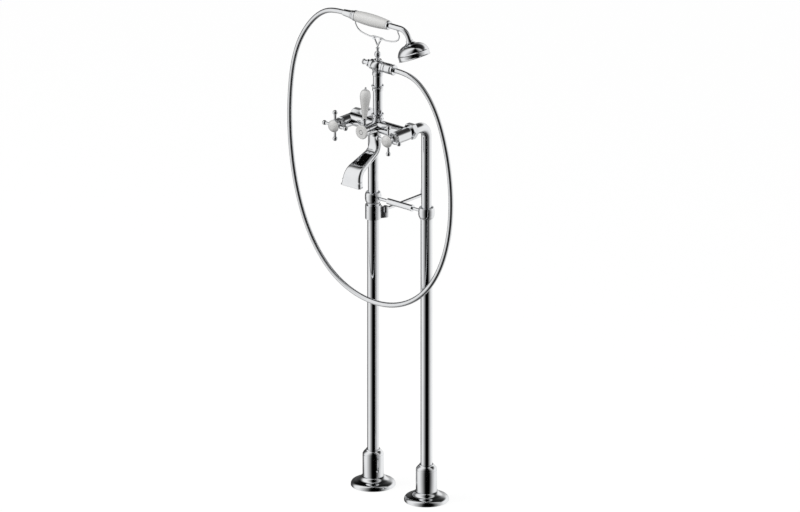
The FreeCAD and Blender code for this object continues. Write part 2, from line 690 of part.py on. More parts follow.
for side, side_x in SIDES.items():
    front = {"x": side_x, "y": "-mixer_reach", "z": "mixer_height - valve_drop", "turn": TO_FRONT}
    spindle_bore = "spindle_diameter / 2 + running_gap"

    # The valve screws into the barrel and its neck carries the spindle.
    piece(turned(f"{side}_valve", [
        (spindle_bore, "barrel_front - valve_depth + 4"),
        ("valve_bore / 2", "barrel_front - valve_depth + 4"),
        ("valve_bore / 2", "barrel_front"),
        ("valve_bore / 2 + 1.4", "barrel_front"),
        ("valve_bore / 2 + 1.4", "barrel_front + 2"),
        ("spindle_diameter / 2 + 2.6", "barrel_front + 2"),
        ("spindle_diameter / 2 + 2.6", "barrel_front + bonnet_length - 3"),
        (spindle_bore, "barrel_front + bonnet_length - 3"),
    ], **front))

    # The bonnet is a thin bell that stands on the barrel's front and covers the valve.
    bonnet_top = "barrel_front + bonnet_length"
    piece(turned(f"{side}_bonnet", [
        ("bonnet_diameter / 2 - bonnet_wall", "barrel_front"),
        ("bonnet_diameter / 2", "barrel_front"),
        ("bonnet_diameter / 2", "barrel_front + 2.2"),
        ("bonnet_diameter / 2 - 1", "barrel_front + 3"),
        ("handle_hub_diameter / 2 + 1.2", f"{bonnet_top} - 4.4", "arc"),
        ("handle_hub_diameter / 2 - 1", bonnet_top),
        ("spindle_diameter / 2 + 0.5", bonnet_top),
        ("spindle_diameter / 2 + 0.5", f"{bonnet_top} - bonnet_wall"),
        ("handle_hub_diameter / 2 - 2.2", f"{bonnet_top} - bonnet_wall"),
        ("handle_hub_diameter / 2 - 0.3", f"{bonnet_top} - 4.6", "arc"),
        ("bonnet_diameter / 2 - bonnet_wall - 1", "barrel_front + 3.2"),
        ("bonnet_diameter / 2 - bonnet_wall", "barrel_front + 2.2"),
    ], **front))

    piece(rod(f"{side}_spindle", "spindle_diameter / 2", "handle_plane - barrel_front + valve_depth - 8",
              x=side_x, y="-mixer_reach - barrel_front + valve_depth - 8",
              z="mixer_height - valve_drop", turn=TO_FRONT))

    # The handle is a turned hub with four arms that end in balls.
    handle = doc.addObject("PartDesign::Body", f"{side}_cross_handle")
    handle.Label = f"{side}_cross_handle"
    hub_back = f"{bonnet_top} + moving_gap"
    revolve(handle, outline(handle, f"{side}_handle_hub", [
        ("spindle_diameter / 2", hub_back),
        ("handle_hub_diameter / 2 - 1.6", hub_back),
        ("handle_hub_diameter / 2 - 2", f"{hub_back} + 1.6"),
        ("handle_hub_diameter / 2", "handle_plane - 3"),
        ("handle_hub_diameter / 2 + 0.6", "handle_plane", "arc"),
        ("handle_hub_diameter / 2", "handle_plane + 3"),
        ("dome_diameter / 2", "handle_front - 0.8"),
        ("dome_diameter / 2", "handle_front"),
        ("0", "handle_front"),
        ("0", "handle_plane"),
        ("spindle_diameter / 2", "handle_plane"),
    ]))
    arm = outline(handle, f"{side}_handle_arm", [
        ("handle_hub_diameter / 2 - 3", "handle_plane"),
        ("handle_hub_diameter / 2 - 3", "handle_plane + handle_arm_diameter / 2 + 0.5"),
        ("handle_hub_diameter / 2 + 1", "handle_plane + handle_arm_diameter / 2 + 0.2"),
        ("handle_arm_reach * 0.55", "handle_plane + handle_arm_diameter / 2 - 0.2", "arc"),
        ("handle_arm_reach - handle_ball_diameter * 0.9", "handle_plane + handle_ball_diameter * 0.3"),
        ("handle_arm_reach - handle_ball_diameter / 2", "handle_plane + handle_ball_diameter / 2", "arc"),
        ("handle_arm_reach", "handle_plane"),
    ])
    middle_line = arm.addGeometry(Part.LineSegment(Vector(0, value("handle_plane"), 0),
                                                   Vector(10, value("handle_plane"), 0)), True)
    tie(arm, middle_line, 1, ("0", "handle_plane"))
    tie(arm, middle_line, 2, ("handle_hub_diameter / 2", "handle_plane"))
    arm_form = revolve(handle, arm, "Axis0")
    four_arms = handle.newObject("PartDesign::PolarPattern", f"{side}_four_arms")
    four_arms.Originals = [arm_form]
    four_arms.Axis = (next(f for f in handle.Origin.OriginFeatures if f.Role == "Z_Axis"), [""])
    four_arms.Angle = 360
    four_arms.Occurrences = 4
    handle.Tip = four_arms
    piece(place(handle, **front))

    piece(turned(f"{side}_handle_dome", [
        ("0", "handle_front"),
        ("dome_diameter / 2 - 0.6", "handle_front"),
        ("dome_diameter / 2 - 0.4", "handle_front + 1.2"),
        ("dome_diameter / 2 * 0.68", "handle_front + dome_height * 0.76", "arc"),
        ("1.5", "handle_front + dome_height"),
        ("0", "handle_front + dome_height"),
    ], **front))

# ---- Diverter: a cartridge in the hub, and a lever that turns on it ----

FRONT = {"y": "-mixer_reach", "z": "mixer_height", "turn": TO_FRONT}
cartridge_back = "spout_offset + spigot_diameter / 2 + 2"
lever_back = "lever_plane - lever_hub_length / 2"
lever_front = "lever_plane + lever_hub_length / 2"
piece(rod("diverter_spindle", "spindle_diameter / 2", f"lever_plane - ({cartridge_back}) - 1",
          y=f"-mixer_reach - ({cartridge_back}) - 1", z="mixer_height", turn=TO_FRONT))

# The cartridge's front flange is the gland that stands still between the hub and the lever.
piece(turned("diverter_cartridge", [
    (spindle_bore, cartridge_back),
    ("diverter_bore / 2", cartridge_back),
    ("diverter_bore / 2", "hub_front"),
    ("hub_diameter / 2", "hub_front"),
    ("hub_diameter / 2", f"{lever_back} - moving_gap - 0.6"),
    ("hub_diameter / 2 - 0.6", f"{lever_back} - moving_gap"),
    (spindle_bore, f"{lever_back} - moving_gap"),
], **FRONT))

lever_drum = turned("lever_drum", [
    ("spindle_diameter / 2", lever_back),
    ("hub_diameter / 2 - 0.5", lever_back),
    ("hub_diameter / 2", f"{lever_back} + 0.6"),
    ("hub_diameter / 2", f"{lever_front} - 1"),
    ("index_diameter / 2 - 1", f"{lever_front} - 0.4"),
    ("index_diameter / 2 - 1", lever_front),
    ("0", lever_front),
    ("0", "lever_plane"),
    ("spindle_diameter / 2", "lever_plane"),
], **FRONT)
LEVER = {
    "y": "-mixer_reach - lever_plane",
    "z": "mixer_height",
    "turn": Rotation(Vector(1, 0, 0), -value("lever_lean")),
}
lever_stalk = turned("lever_stalk", [
    ("0", "hub_diameter / 2 - 4"),
    ("4.4", "hub_diameter / 2 - 4"),
    ("4.4", "hub_diameter / 2 + 1"),
    ("3.8", "hub_diameter / 2 + 4.6", "arc"),
    ("3.8", "lever_root"),
    ("0", "lever_root"),
], **LEVER)
piece(fuse("lever_hub", lever_drum, lever_stalk))
grip_foot = "(lever_root + ferrule_height - 1.5)"
grip_head = f"({grip_foot} + grip_height)"
piece(turned("lever_ferrule", [
    ("0", "lever_root"),
    ("3.8", "lever_root"),
    ("grip_foot_diameter / 2 + 1", "lever_root + 2.6"),
    ("grip_foot_diameter / 2 + 1.4", "lever_root + 4", "arc"),
    ("grip_foot_diameter / 2 + 0.9", "lever_root + ferrule_height"),
    ("grip_foot_diameter / 2 + 0.1", "lever_root + ferrule_height"),
    ("grip_foot_diameter / 2 + 0.1", grip_foot),
    ("0", grip_foot),
], **LEVER))
piece(turned("lever_grip", [
    ("0", grip_foot),
    ("grip_foot_diameter / 2", grip_foot),
    ("grip_foot_diameter / 2", f"{grip_foot} + 2"),
    ("grip_waist_diameter / 2", f"{grip_foot} + grip_height * 0.37", "arc"),
    ("grip_diameter / 2 - 0.5", f"{grip_foot} + grip_height * 0.68"),
    ("grip_diameter / 2", f"{grip_foot} + grip_height * 0.8", "arc"),
    ("grip_diameter / 2 - 1.4", f"{grip_foot} + grip_height * 0.92"),
    ("grip_top_diameter / 2 + 2.6", f"{grip_foot} + grip_height * 0.975", "arc"),
    ("grip_top_diameter / 2", grip_head),
    ("0", grip_head),
], **LEVER))
piece(turned("lever_finial", [
    ("0", grip_head),
    ("2.9", grip_head),
    ("2.9", f"{grip_head} + 1"),
    ("1.9", f"{grip_head} + 1.8"),
    ("2.5", f"{grip_head} + finial_height - 2.6"),
    ("2", f"{grip_head} + finial_height - 1", "arc"),
    ("0.6", f"{grip_head} + finial_height"),
    ("0", f"{grip_head} + finial_height"),
], **LEVER))
piece(turned("index_disc", [
    ("0", lever_front),
    ("index_diameter / 2 - 0.8", lever_front),
    ("index_diameter / 2", f"{lever_front} + 1"),
    ("index_diameter / 2", f"{lever_front} + index_thickness - 2"),
    ("index_diameter / 2 - 0.7", f"{lever_front} + index_thickness - 0.7", "arc"),
    ("index_diameter / 2 - 2.2", f"{lever_front} + index_thickness"),
    ("0", f"{lever_front} + index_thickness"),
], **FRONT))

# ---- Spout: a hollow casting that sweeps down, forward and down again ----

def spout_stations():
    """Places along the middle of the spout: height below its top, reach, heading, share.

    The heading is the angle below level; the share runs from 0 at the top to 1 at the
    outlet. The path is a straight neck, a bend, a slope, a second bend and a short nose."""
    slope = value("spout_slope")
    nose = value("spout_nose_angle")
    legs = [
        ("straight", value("spout_straight"), 90),
        ("bend", value("spout_neck_radius"), (90, slope)),
        ("straight", value("spout_run"), slope),
        ("bend", value("spout_nose_radius"), (slope, nose)),
        ("straight", value("spout_nose_length"), nose),
    ]
    reach = 0
    drop = 0
    travelled = 0
    stations = [(drop, reach, 90, travelled)]
    for kind, size, heading in legs:
        steps = 7 if kind == "bend" else 3
        first, last = heading if kind == "bend" else (heading, heading)
        for step in range(1, steps + 1):
            length = size / steps
            if kind == "bend":
                part = math.radians(abs(last - first)) / steps
                length = 2 * size * math.sin(part / 2)
            middle = math.radians(first + (last - first) * (step - 0.5) / steps)
            reach += length * math.cos(middle)
            drop += length * math.sin(middle)
            travelled += length
            stations.append((drop, reach, first + (last - first) * step / steps, travelled))
    return [(d, r, heading, far / travelled) for d, r, heading, far in stations]


def spout_section(drop, reach, heading, share, inset):
    """One closed section of the spout, a rectangle with rounded corners across its path."""
    widening = share ** 1.6
    width = value("spout_neck_width") * (1 - widening) + value("spout_outlet_width") * widening
    slimming = min(1, share / 0.25)
    depth = value("spout_neck_depth") * (1 - slimming) + value("spout_mid_depth") * slimming
    flare = max(0, share - 0.7) / 0.3
    depth += (value("spout_outlet_depth") - value("spout_mid_depth")) * flare
    half_width = width / 2 - inset
    half_depth = depth / 2 - inset
    corner = min(half_depth * 0.96, value("spout_corner") * (2 - slimming) - inset)
    middle = Vector(0, value(spout_y) - reach, value(spout_top_z) - drop)
    across = Vector(1, 0, 0)
    up = Vector(0, -math.sin(math.radians(heading)), math.cos(math.radians(heading)))
    edges = []
    turns = [(1, 1), (-1, 1), (-1, -1), (1, -1)]
    for number, (sx, sy) in enumerate(turns):
        next_x, next_y = turns[(number + 1) % 4]
        centre = middle + across * (sx * (half_width - corner)) + up * (sy * (half_depth - corner))
        following = (middle + across * (next_x * (half_width - corner))
                     + up * (next_y * (half_depth - corner)))
        first, second = (across * sx, up * sy) if sx == sy else (up * sy, across * sx)
        diagonal = (across * sx + up * sy) * math.sqrt(0.5)
        edges.append(Part.Arc(centre + first * corner, centre + diagonal * corner,
                              centre + second * corner).toShape())
        edges.append(Part.LineSegment(centre + second * corner, following + second * corner).toShape())
    return Part.Wire(edges)


def spout_form(inset, stations):
    """The outside of the spout, or its inside when inset by the wall."""
    return Part.makeLoft([spout_section(*station, inset) for station in stations], True, True)


stations = spout_stations()
outside = spout_form(0, stations)
lip_station = [(stations[-1][0] + step, stations[-1][1], 90, 1) for step in (-2.4, 0)]
lip = spout_form(-value("spout_lip"), lip_station)
water_stations = stations[1:-1] + [(stations[-1][0] + 1, *stations[-1][1:])]
inside = spout_form(value("spout_wall"), water_stations)
spigot_radius = value("spigot_diameter") / 2
spigot_root = Vector(0, value(spout_y), value(spout_top_z) - value("spigot_root"))
spigot = Part.makeCylinder(spigot_radius, value("spigot_root") + value("spigot_length"), spigot_root)
bore_root = Vector(0, value(spout_y), value(spout_top_z) - value("spout_straight") / 2)
spigot_bore = Part.makeCylinder(spigot_radius - value("spout_wall"),
                                value("spout_straight") + value("spigot_length"), bore_root)
spout_solid = outside.fuse([lip, spigot]).cut(inside.fuse(spigot_bore))

# Two seal rings sit in grooves of the spigot and let it turn in the mixer's boss.
oring_heights = [f"{spout_top_z} + spigot_length * {share}" for share in (0.3, 0.65)]
for height in oring_heights:
    groove_base = Vector(0, value(spout_y), value(height))
    groove = Part.makeCylinder(spigot_radius + 1, value("oring_thickness"), groove_base)
    core = Part.makeCylinder(spigot_radius - 1, value("oring_thickness"), groove_base)
    spout_solid = spout_solid.cut(groove.cut(core))
piece(feature("spout", spout_solid))
piece(group("spout_orings", *[
    tube(f"spout_oring_{number}", "spigot_diameter / 2 - 1", "spigot_diameter / 2 + running_gap / 2",
         "0", "oring_thickness", y=spout_y, z=height)
    for number, height in enumerate(oring_heights, start=1)
]))

# ---- Riser ----

RISER = {"y": "-mixer_reach"}
riser_foot = "mixer_height + riser_boss_height - 6"
boss_top = "mixer_height + riser_boss_height"
piece(tube("riser_pipe", "riser_diameter / 2 - riser_wall", "riser_diameter / 2",
           riser_foot, "riser_top", **RISER))


def cupped_ring(label, bottom):
    """A ring on the riser that flares to an upturned lip."""
    top = f"({bottom}) + ring_height"
    return turned(label, [
        ("riser_diameter / 2", bottom),
        ("riser_diameter / 2 + 1.6", bottom),
        ("riser_diameter / 2 + 1.6", f"({bottom}) + ring_height * 0.3"),
        ("riser_diameter / 2 + 1.1", f"({bottom}) + ring_height * 0.45"),
        ("riser_diameter / 2 + 2", f"({bottom}) + ring_height * 0.62", "arc"),
        ("ring_lip_diameter / 2 - 0.4", f"({bottom}) + ring_height * 0.72"),
        ("ring_lip_diameter / 2 + 0.2", f"({bottom}) + ring_height * 0.86", "arc"),
        ("ring_lip_diameter / 2 - 0.3", top),
        ("ring_lip_diameter / 2 - 1", f"({bottom}) + ring_height * 0.86"),
        ("riser_diameter / 2", f"({bottom}) + ring_height * 0.84"),
    ], **RISER)


piece(cupped_ring("riser_base_ring", boss_top))
piece(cupped_ring("riser_top_ring", "top_ring_height - ring_height"))

# ---- Shower tee with its plug and outlet, which turns on the riser ----

tee_foot = "riser_top - tee_collar_height + 6"
TEE = {"y": "-mixer_reach", "z": "tee_height"}
tee_cup = turned("tee_cup", [
    ("0", "riser_top + moving_gap"),
    ("riser_diameter / 2 + running_gap", "riser_top + moving_gap"),
    ("riser_diameter / 2 + running_gap", tee_foot),
    ("tee_collar_diameter / 2 - 0.6", tee_foot),
    ("tee_collar_diameter / 2", f"{tee_foot} + 1"),
    ("tee_collar_diameter / 2", f"{tee_foot} + tee_collar_height - 1"),
    ("tee_collar_diameter / 2 - 1.2", f"{tee_foot} + tee_collar_height"),
    ("tee_half_length * 0.8", "tee_height - tee_diameter * 0.25", "arc"),
    ("tee_half_length", "tee_height"),
    ("tee_half_length * 0.8", "tee_height + tee_diameter * 0.3", "arc"),
    ("stem_foot_diameter / 2 - 1", "tee_height + tee_diameter / 2"),
    ("0", "tee_height + tee_diameter / 2"),
], **RISER)
tee_barrel = rod("tee_barrel", "tee_diameter / 2 - 1", "2 * tee_half_length",
                 x="-tee_half_length", turn=TO_COLD, **TEE)
tee_ring = turned("tee_outlet_ring", [
    ("0", "0"),
    ("outlet_ring_diameter / 2 - 1", "0"),
    ("outlet_ring_diameter / 2", "1"),
    ("outlet_ring_diameter / 2", "outlet_ring_length - 1"),
    ("outlet_ring_diameter / 2 - 1", "outlet_ring_length"),
    ("outlet_spigot_diameter / 2", "outlet_ring_length"),
    ("outlet_spigot_diameter / 2", "outlet_ring_length + outlet_spigot_length"),
    ("0", "outlet_ring_length + outlet_spigot_length"),
], x="tee_half_length", turn=TO_COLD, **TEE)
tee_water = rod("tee_water", "outlet_spigot_diameter / 2 - 2",
                "tee_half_length * 1.4 + outlet_ring_length + outlet_spigot_length",
                x="-tee_half_length * 0.4", turn=TO_COLD, **TEE)
tee_inlet = rod("tee_inlet", "tee_bore / 2", "tee_height - riser_top", z="riser_top", **RISER)
plug_hole = rod("tee_plug_hole", "plug_diameter / 2 - 2", "7", x="-tee_half_length", turn=TO_COLD, **TEE)
piece(cut("shower_tee", fuse("shower_tee_blank", tee_cup, tee_barrel, tee_ring),
          tee_water, tee_inlet, plug_hole))

piece(turned("tee_plug", [
    ("0", "-6"),
    ("plug_diameter / 2 - 2", "-6"),
    ("plug_diameter / 2 - 2", "0"),
    ("plug_diameter / 2 + 1", "0"),
    ("plug_diameter / 2 - 1", "3", "arc"),
    ("plug_diameter / 2 - 0.6", "5.4"),
    ("plug_ring_diameter / 2", "6.4"),
    ("plug_ring_diameter / 2", "9.4"),
    ("plug_diameter / 2 - 1", "10.4"),
    ("plug_diameter / 2 - 1", "plug_length - 4"),
    ("plug_diameter / 2", "plug_length - 3"),
    ("plug_diameter / 2 - 0.4", "plug_length - 0.6", "arc"),
    ("plug_diameter / 2 - 2", "plug_length"),
    ("0", "plug_length"),
], x="-tee_half_length", turn=TO_HOT, **TEE))

# The hose nut turns over the tee's spigot and draws the hose's end against it.
nut_start = "tee_half_length + outlet_ring_length"
outlet_end = f"{nut_start} + outlet_nut_length"
outlet_blank = turned("hose_outlet_nut_blank", [
    ("outlet_spigot_diameter / 2", "0"),
    ("hose_nut_diameter / 2 - 1", "0"),
    ("hose_nut_diameter / 2", "1.2"),
    ("hose_nut_diameter / 2", "outlet_nut_length - 8"),
    ("hose_nut_diameter / 2 - 2", "outlet_nut_length - 6"),
    ("hose_nut_diameter / 2 - 2", "outlet_nut_length - 5"),
    ("hose_nut_diameter / 2 + 0.4", "outlet_nut_length - 4"),
    ("hose_nut_diameter / 2 + 0.4", "outlet_nut_length - 1"),
    ("hose_nut_diameter / 2 - 1", "outlet_nut_length"),
    ("0", "outlet_nut_length"),
    ("0", "outlet_spigot_length"),
    ("outlet_spigot_diameter / 2", "outlet_spigot_length"),
], x=nut_start, turn=TO_COLD, **TEE)
piece(outlet_blank, "hose_outlet_nut")

# ---- Cradle: a turned stem and a fork whose two saddles hold the handset's wire ----

stem_foot = "tee_height + tee_diameter / 2"
stem_top = f"{stem_foot} + stem_height"
piece(turned("cradle_stem", [
    ("0", stem_foot),
    ("stem_foot_diameter / 2", stem_foot),
    ("stem_foot_diameter / 2", f"{stem_foot} + 1.6"),
    ("stem_neck_diameter / 2 + 0.6", f"{stem_foot} + 3", "arc"),
    ("stem_neck_diameter / 2 + 0.4", f"{stem_foot} + 6"),
    ("stem_bulb_diameter / 2", f"{stem_foot} + stem_height * 0.46", "arc"),
    ("stem_neck_diameter / 2 + 0.2", f"{stem_foot} + stem_height * 0.72"),
    ("stem_neck_diameter / 2", f"{stem_foot} + stem_height - 3"),
    ("stem_neck_diameter / 2 + 1", f"{stem_foot} + stem_height - 2.2"),
    ("stem_neck_diameter / 2 + 1", stem_top),
    ("0", stem_top),
], **RISER))

fork_foot = Vector(0, -value("mixer_reach"), value(stem_top))
fork_split = fork_foot + Vector(0, 0, value("fork_prong_diameter"))
prong = value("fork_prong_diameter") / 2
fork_solid = Part.makeCylinder(prong, value("fork_prong_diameter"), fork_foot)
fork_solid = fork_solid.fuse(Part.makeSphere(prong, fork_split))
wire_radius = value("wire_diameter") / 2
saddle_radius = prong + 0.8
saddle_drop = wire_radius + saddle_radius - 1
for sign in (-1, 1):
    saddle_centre = Vector(sign * value("fork_half_spread"), -value("mixer_reach"),
                           value("fork_top") + wire_radius - saddle_drop)
    reach = saddle_centre - fork_split
    fork_solid = fork_solid.fuse(Part.makeCylinder(prong, reach.Length, fork_split, reach))
    saddle_start = saddle_centre - Vector(0, value("fork_saddle_width") / 2, 0)
    fork_solid = fork_solid.fuse(
        Part.makeCylinder(saddle_radius, value("fork_saddle_width"), saddle_start, Vector(0, 1, 0)))
groove_start = Vector(-value("fork_half_spread") * 2, -value("mixer_reach"),
                      value("fork_top") + wire_radius)
fork_solid = fork_solid.cut(Part.makeCylinder(wire_radius + value("moving_gap"),
                                              4 * value("fork_half_spread"), groove_start, Vector(1, 0, 0)))
piece(feature("cradle_fork", fork_solid.removeSplitter()))

# ---- Handset: grip, tube and neck, rose, and the wire that it hangs by ----

HANDSET = {"y": "-mixer_reach", "z": "handset_height", "turn": TO_COLD}
piece(turned("handset_grip", [
    ("handset_tube_diameter / 2", "-grip_back_end"),
    ("handset_grip_back_diameter / 2", "-grip_back_end"),
    ("handset_grip_back_diameter / 2 + 0.6", "-grip_back_end + 1.4"),
    ("handset_grip_diameter / 2", "(grip_front_end - grip_back_end) / 2", "arc"),
    ("handset_grip_front_diameter / 2 + 0.6", "grip_front_end - 1.4"),
    ("handset_grip_front_diameter / 2", "grip_front_end"),
    ("handset_tube_diameter / 2", "grip_front_end"),
], **HANDSET))
ferrule_end = "(grip_front_end + front_ferrule_length)"
tube_back = "-grip_back_end - rear_ferrule_length - 10"
tube_bore = "handset_tube_diameter / 2 - handset_tube_wall"
piece(tube("handset_tube", tube_bore, "handset_tube_diameter / 2", tube_back, ferrule_end, **HANDSET))
piece(turned("front_ferrule", [
    ("handset_tube_diameter / 2", "grip_front_end"),
    ("handset_grip_front_diameter / 2 - 0.4", "grip_front_end"),
    ("handset_grip_front_diameter / 2 + 0.2", "grip_front_end + 0.8"),
    ("handset_grip_front_diameter / 2 + 0.2", f"{ferrule_end} - 0.8"),
    ("handset_grip_front_diameter / 2 - 0.6", ferrule_end),
    ("handset_tube_diameter / 2", ferrule_end),
], **HANDSET))
rear_end = "-grip_back_end - rear_ferrule_length"
piece(turned("rear_ferrule", [
    ("handset_tube_diameter / 2", rear_end),
    ("rear_ferrule_diameter / 2 - 2.6", rear_end),
    ("rear_ferrule_diameter / 2 - 1.8", f"{rear_end} + 1"),
    ("rear_ferrule_diameter / 2 - 1.8", f"{rear_end} + 3.4"),
    ("rear_ferrule_diameter / 2 - 2.6", f"{rear_end} + 4.4"),
    ("rear_ferrule_diameter / 2", "-grip_back_end - 4.6"),
    ("rear_ferrule_diameter / 2", "-grip_back_end - 0.6"),
    ("rear_ferrule_diameter / 2 - 0.6", "-grip_back_end"),
    ("handset_tube_diameter / 2", "-grip_back_end"),
], **HANDSET))
cone_end = f"{rear_end} - cone_nut_length"
piece(turned("handset_hose_nut", [
    ("0", cone_end),
    ("cone_nut_end_diameter / 2 - 0.4", cone_end),
    ("cone_nut_end_diameter / 2", f"{cone_end} + 0.6"),
    ("cone_nut_diameter / 2", f"{rear_end} - 4"),
    ("cone_nut_diameter / 2 + 0.8", f"{rear_end} - 3"),
    ("cone_nut_diameter / 2 + 0.8", f"{rear_end} - 0.6"),
    ("cone_nut_diameter / 2 + 0.2", rear_end),
    ("handset_tube_diameter / 2", rear_end),
    ("handset_tube_diameter / 2", tube_back),
    ("0", tube_back),
], **HANDSET))

# The neck runs on from the grip, bends down and meets the top of the tilted rose.
hand_y = -value("mixer_reach")
tilt = math.radians(value("rose_tilt"))
face_centre = Vector(value("rose_reach"), hand_y, value("rose_face_height"))
rose_axis = Vector(-math.sin(tilt), 0, math.cos(tilt))
neck_start = Vector(value(ferrule_end), hand_y, value("handset_height"))
neck_end = face_centre + rose_axis * value("rose_height")
rise = (value("handset_height") - value("rose_face_height")) / math.cos(tilt)
neck_corner = face_centre + rose_axis * rise
neck_wire, neck_radii = rounded_route([neck_start, neck_corner, neck_end], radius=value("neck_bend_radius"))
neck_outer = swept(neck_wire, value("neck_diameter") / 2)
neck_inner = swept(neck_wire, value("neck_diameter") / 2 - value("neck_wall"))
lug_x = value("front_lug_reach")
lug = Part.makeCylinder(value("wire_diameter"), value("front_lug_drop"),
                        Vector(lug_x, hand_y, value("handset_height")), Vector(0, 0, -1))
piece(feature("handset_neck", neck_outer.fuse(lug).cut(neck_inner).removeSplitter()))

# The rose is turned about its own tilted axis; its height is measured up from its face.
rose_turn = Rotation(Vector(0, 1, 0), -value("rose_tilt"))
ROSE = {"x": "rose_reach", "y": "-mixer_reach", "z": "rose_face_height", "turn": rose_turn}
piece(turned("rose_bell", [
    ("rose_diameter / 2 - 1", "0"),
    ("rose_diameter / 2", "1"),
    ("rose_diameter / 2 - 0.9", "2.4"),
    ("rose_diameter / 2 - 0.9", "rose_band_height - 1.4"),
    ("rose_diameter / 2", "rose_band_height"),
    ("rose_diameter / 2 - 1.2", "rose_band_height + 1.6"),
    ("rose_diameter * 0.36", "rose_shoulder_height * 0.84", "arc"),
    ("rose_diameter * 0.2", "rose_shoulder_height"),
    ("neck_diameter / 2 + 2.4", "rose_height - 5"),
    ("neck_diameter / 2 + 1.6", "rose_height"),
    ("neck_diameter / 2 - neck_wall", "rose_height"),
    ("neck_diameter / 2 - neck_wall", "rose_height - 6"),
    ("rose_diameter * 0.2 - 1", "rose_shoulder_height - rose_wall"),
    ("rose_diameter * 0.36 - rose_wall * 0.7", "rose_shoulder_height * 0.84 - rose_wall * 0.7", "arc"),
    ("rose_diameter / 2 - 0.9 - rose_wall", "rose_band_height + 1.6 - rose_wall"),
    ("rose_diameter / 2 - 0.9 - rose_wall", "0"),
], **ROSE))
face_plate = turned("rose_face_blank", [
    ("0", "0.8"),
    ("rose_diameter / 2 - 0.9 - rose_wall", "0.8"),
    ("rose_diameter / 2 - 0.9 - rose_wall", "0.8 + rose_face_thickness"),
    ("0", "0.8 + rose_face_thickness"),
], **ROSE)


def drilled_ring(body, name, radius, count):
    """Drill a ring of nozzle holes up through the rose's face."""
    sketch = body.newObject("Sketcher::SketchObject", name)
    plane = next(f for f in body.Origin.OriginFeatures if f.Role == "XY_Plane")
    sketch.AttachmentSupport = [(plane, "")]
    sketch.MapMode = "FlatFace"
    hole = sketch.addGeometry(Part.Circle(Vector(value(radius), 0, 0), Vector(0, 0, 1), value("nozzle_bore") / 2))
    tie(sketch, hole, 3, (radius, "0"))
    size = sketch.addConstraint(Sketcher.Constraint("Radius", hole, value("nozzle_bore") / 2))
    sketch.setExpression(f"Constraints[{size}]", bound("nozzle_bore / 2"))
    drill = body.newObject("PartDesign::Pocket", name + "_drill")
    drill.Profile = sketch
    drill.Type = "ThroughAll"
    drill.Reversed = True
    ring = body.newObject("PartDesign::PolarPattern", name + "_ring")
    ring.Originals = [drill]
    ring.Axis = (next(f for f in body.Origin.OriginFeatures if f.Role == "Z_Axis"), [""])
    ring.Angle = 360
    ring.Occurrences = count
    body.Tip = ring


for circle in (1, 2, 3, 4):
    drilled_ring(face_plate, f"nozzles_{circle}", f"{circle} * nozzle_ring_spacing", 6 * circle)
piece(face_plate, "rose_face")

# The wire hangs under the grip. Its flat bump lies in the cradle's two saddles.
bump_z = value("fork_top") + wire_radius
back_x = -value("wire_back_reach")
ferrule_z = value("handset_height") - value("rear_ferrule_diameter") / 2
lug_z = value("handset_height") - value("front_lug_drop")
bump_half = value("fork_half_spread") + value("fork_prong_diameter")
wire_route = [
    (back_x, ferrule_z),
    (back_x, ferrule_z - 5),
    (-57.5, bump_z + 9),
    (-49, bump_z + 2.4),
    (-35, bump_z - 1),
    (-bump_half - 6, bump_z - 2.8),
    (-bump_half, bump_z),
    (bump_half, bump_z),
    (bump_half + 6, bump_z - 2.8),
    (38, bump_z - 1.5),
    (51, bump_z + 2),
    (59.5, bump_z + 8),
    (61.5, bump_z + 17),
    (lug_x, lug_z - 4),
    (lug_x, lug_z),
]
wire_path, wire_radii = rounded_route([Vector(along, hand_y, up) for along, up in wire_route])
piece(feature("hanging_wire", swept(wire_path, wire_radius)))

# ---- Shower hose: it leaves the tee level, hangs in a wide loop and climbs to the grip ----

hose_start = Vector(value(outlet_end), hand_y, value("tee_height"))
hose_stop = Vector(value(cone_end), hand_y, value("handset_height"))
hose_low = hose_start.z - value("hose_drop")
# Each point of the fall is (x, drop below the outlet), and each point of the climb is
# (x, share of the way from the lowest point up to the handset).
hose_fall = [
    (85, 0),
    (119, 15),
    (149, 45),
    (172, 85),
    (189, 135),
    (201, 190),
    (207, 250),
    (205, 313),
    (193, 375),
    (170, 432),
    (136, 480),
    (92, 515),
    (40, 535),
    (-16, 539),
]
hose_climb = [
    (-71, 0.017),
    (-121, 0.057),
    (-163, 0.118),
    (-196, 0.196),
    (-220, 0.287),
    (-236, 0.385),
    (-245, 0.485),
    (-248, 0.587),
    (-245, 0.686),
    (-237, 0.776),
    (-221, 0.854),
    (-196, 0.92),
    (-165, 0.972),
    (-129, 1),
]
hose_route = [(along, hose_start.z - drop) for along, drop in hose_fall]
hose_route += [(along, hose_low + share * (hose_stop.z - hose_low)) for along, share in hose_climb]
hose_points = [hose_start, *[Vector(along, hand_y, up) for along, up in hose_route], hose_stop]
hose_path, hose_radii = rounded_route(hose_points)
hose_outside = swept(hose_path, value("hose_diameter") / 2)
hose_inside = swept(hose_path, value("hose_bore") / 2)
piece(feature("shower_hose", hose_outside.cut(hose_inside)))
print("hose radii", [round(radius) for radius in hose_radii], "length", round(hose_path.Length))
section = math.pi * (value("hose_diameter") / 2) ** 2
print("hose volume against section times length", hose_outside.Volume / (section * hose_path.Length))

doc.recompute()
for thing in doc.Objects:
    if {"Invalid", "Error"} & set(thing.State):
        raise RuntimeError(f"{thing.Label} did not build: {thing.State}")
for thing in pieces:
    if thing.Shape.isNull() or not thing.Shape.isValid():
        raise RuntimeError(f"{thing.Label} has no sound shape")
os.makedirs("parts", exist_ok=True)
for thing in pieces:
    thing.Shape.exportStep(f"parts/{thing.Label}.step")
print(len(pieces), "sub-parts written")
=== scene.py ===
import math

import bmesh
import bpy
from mathutils import Matrix, Vector


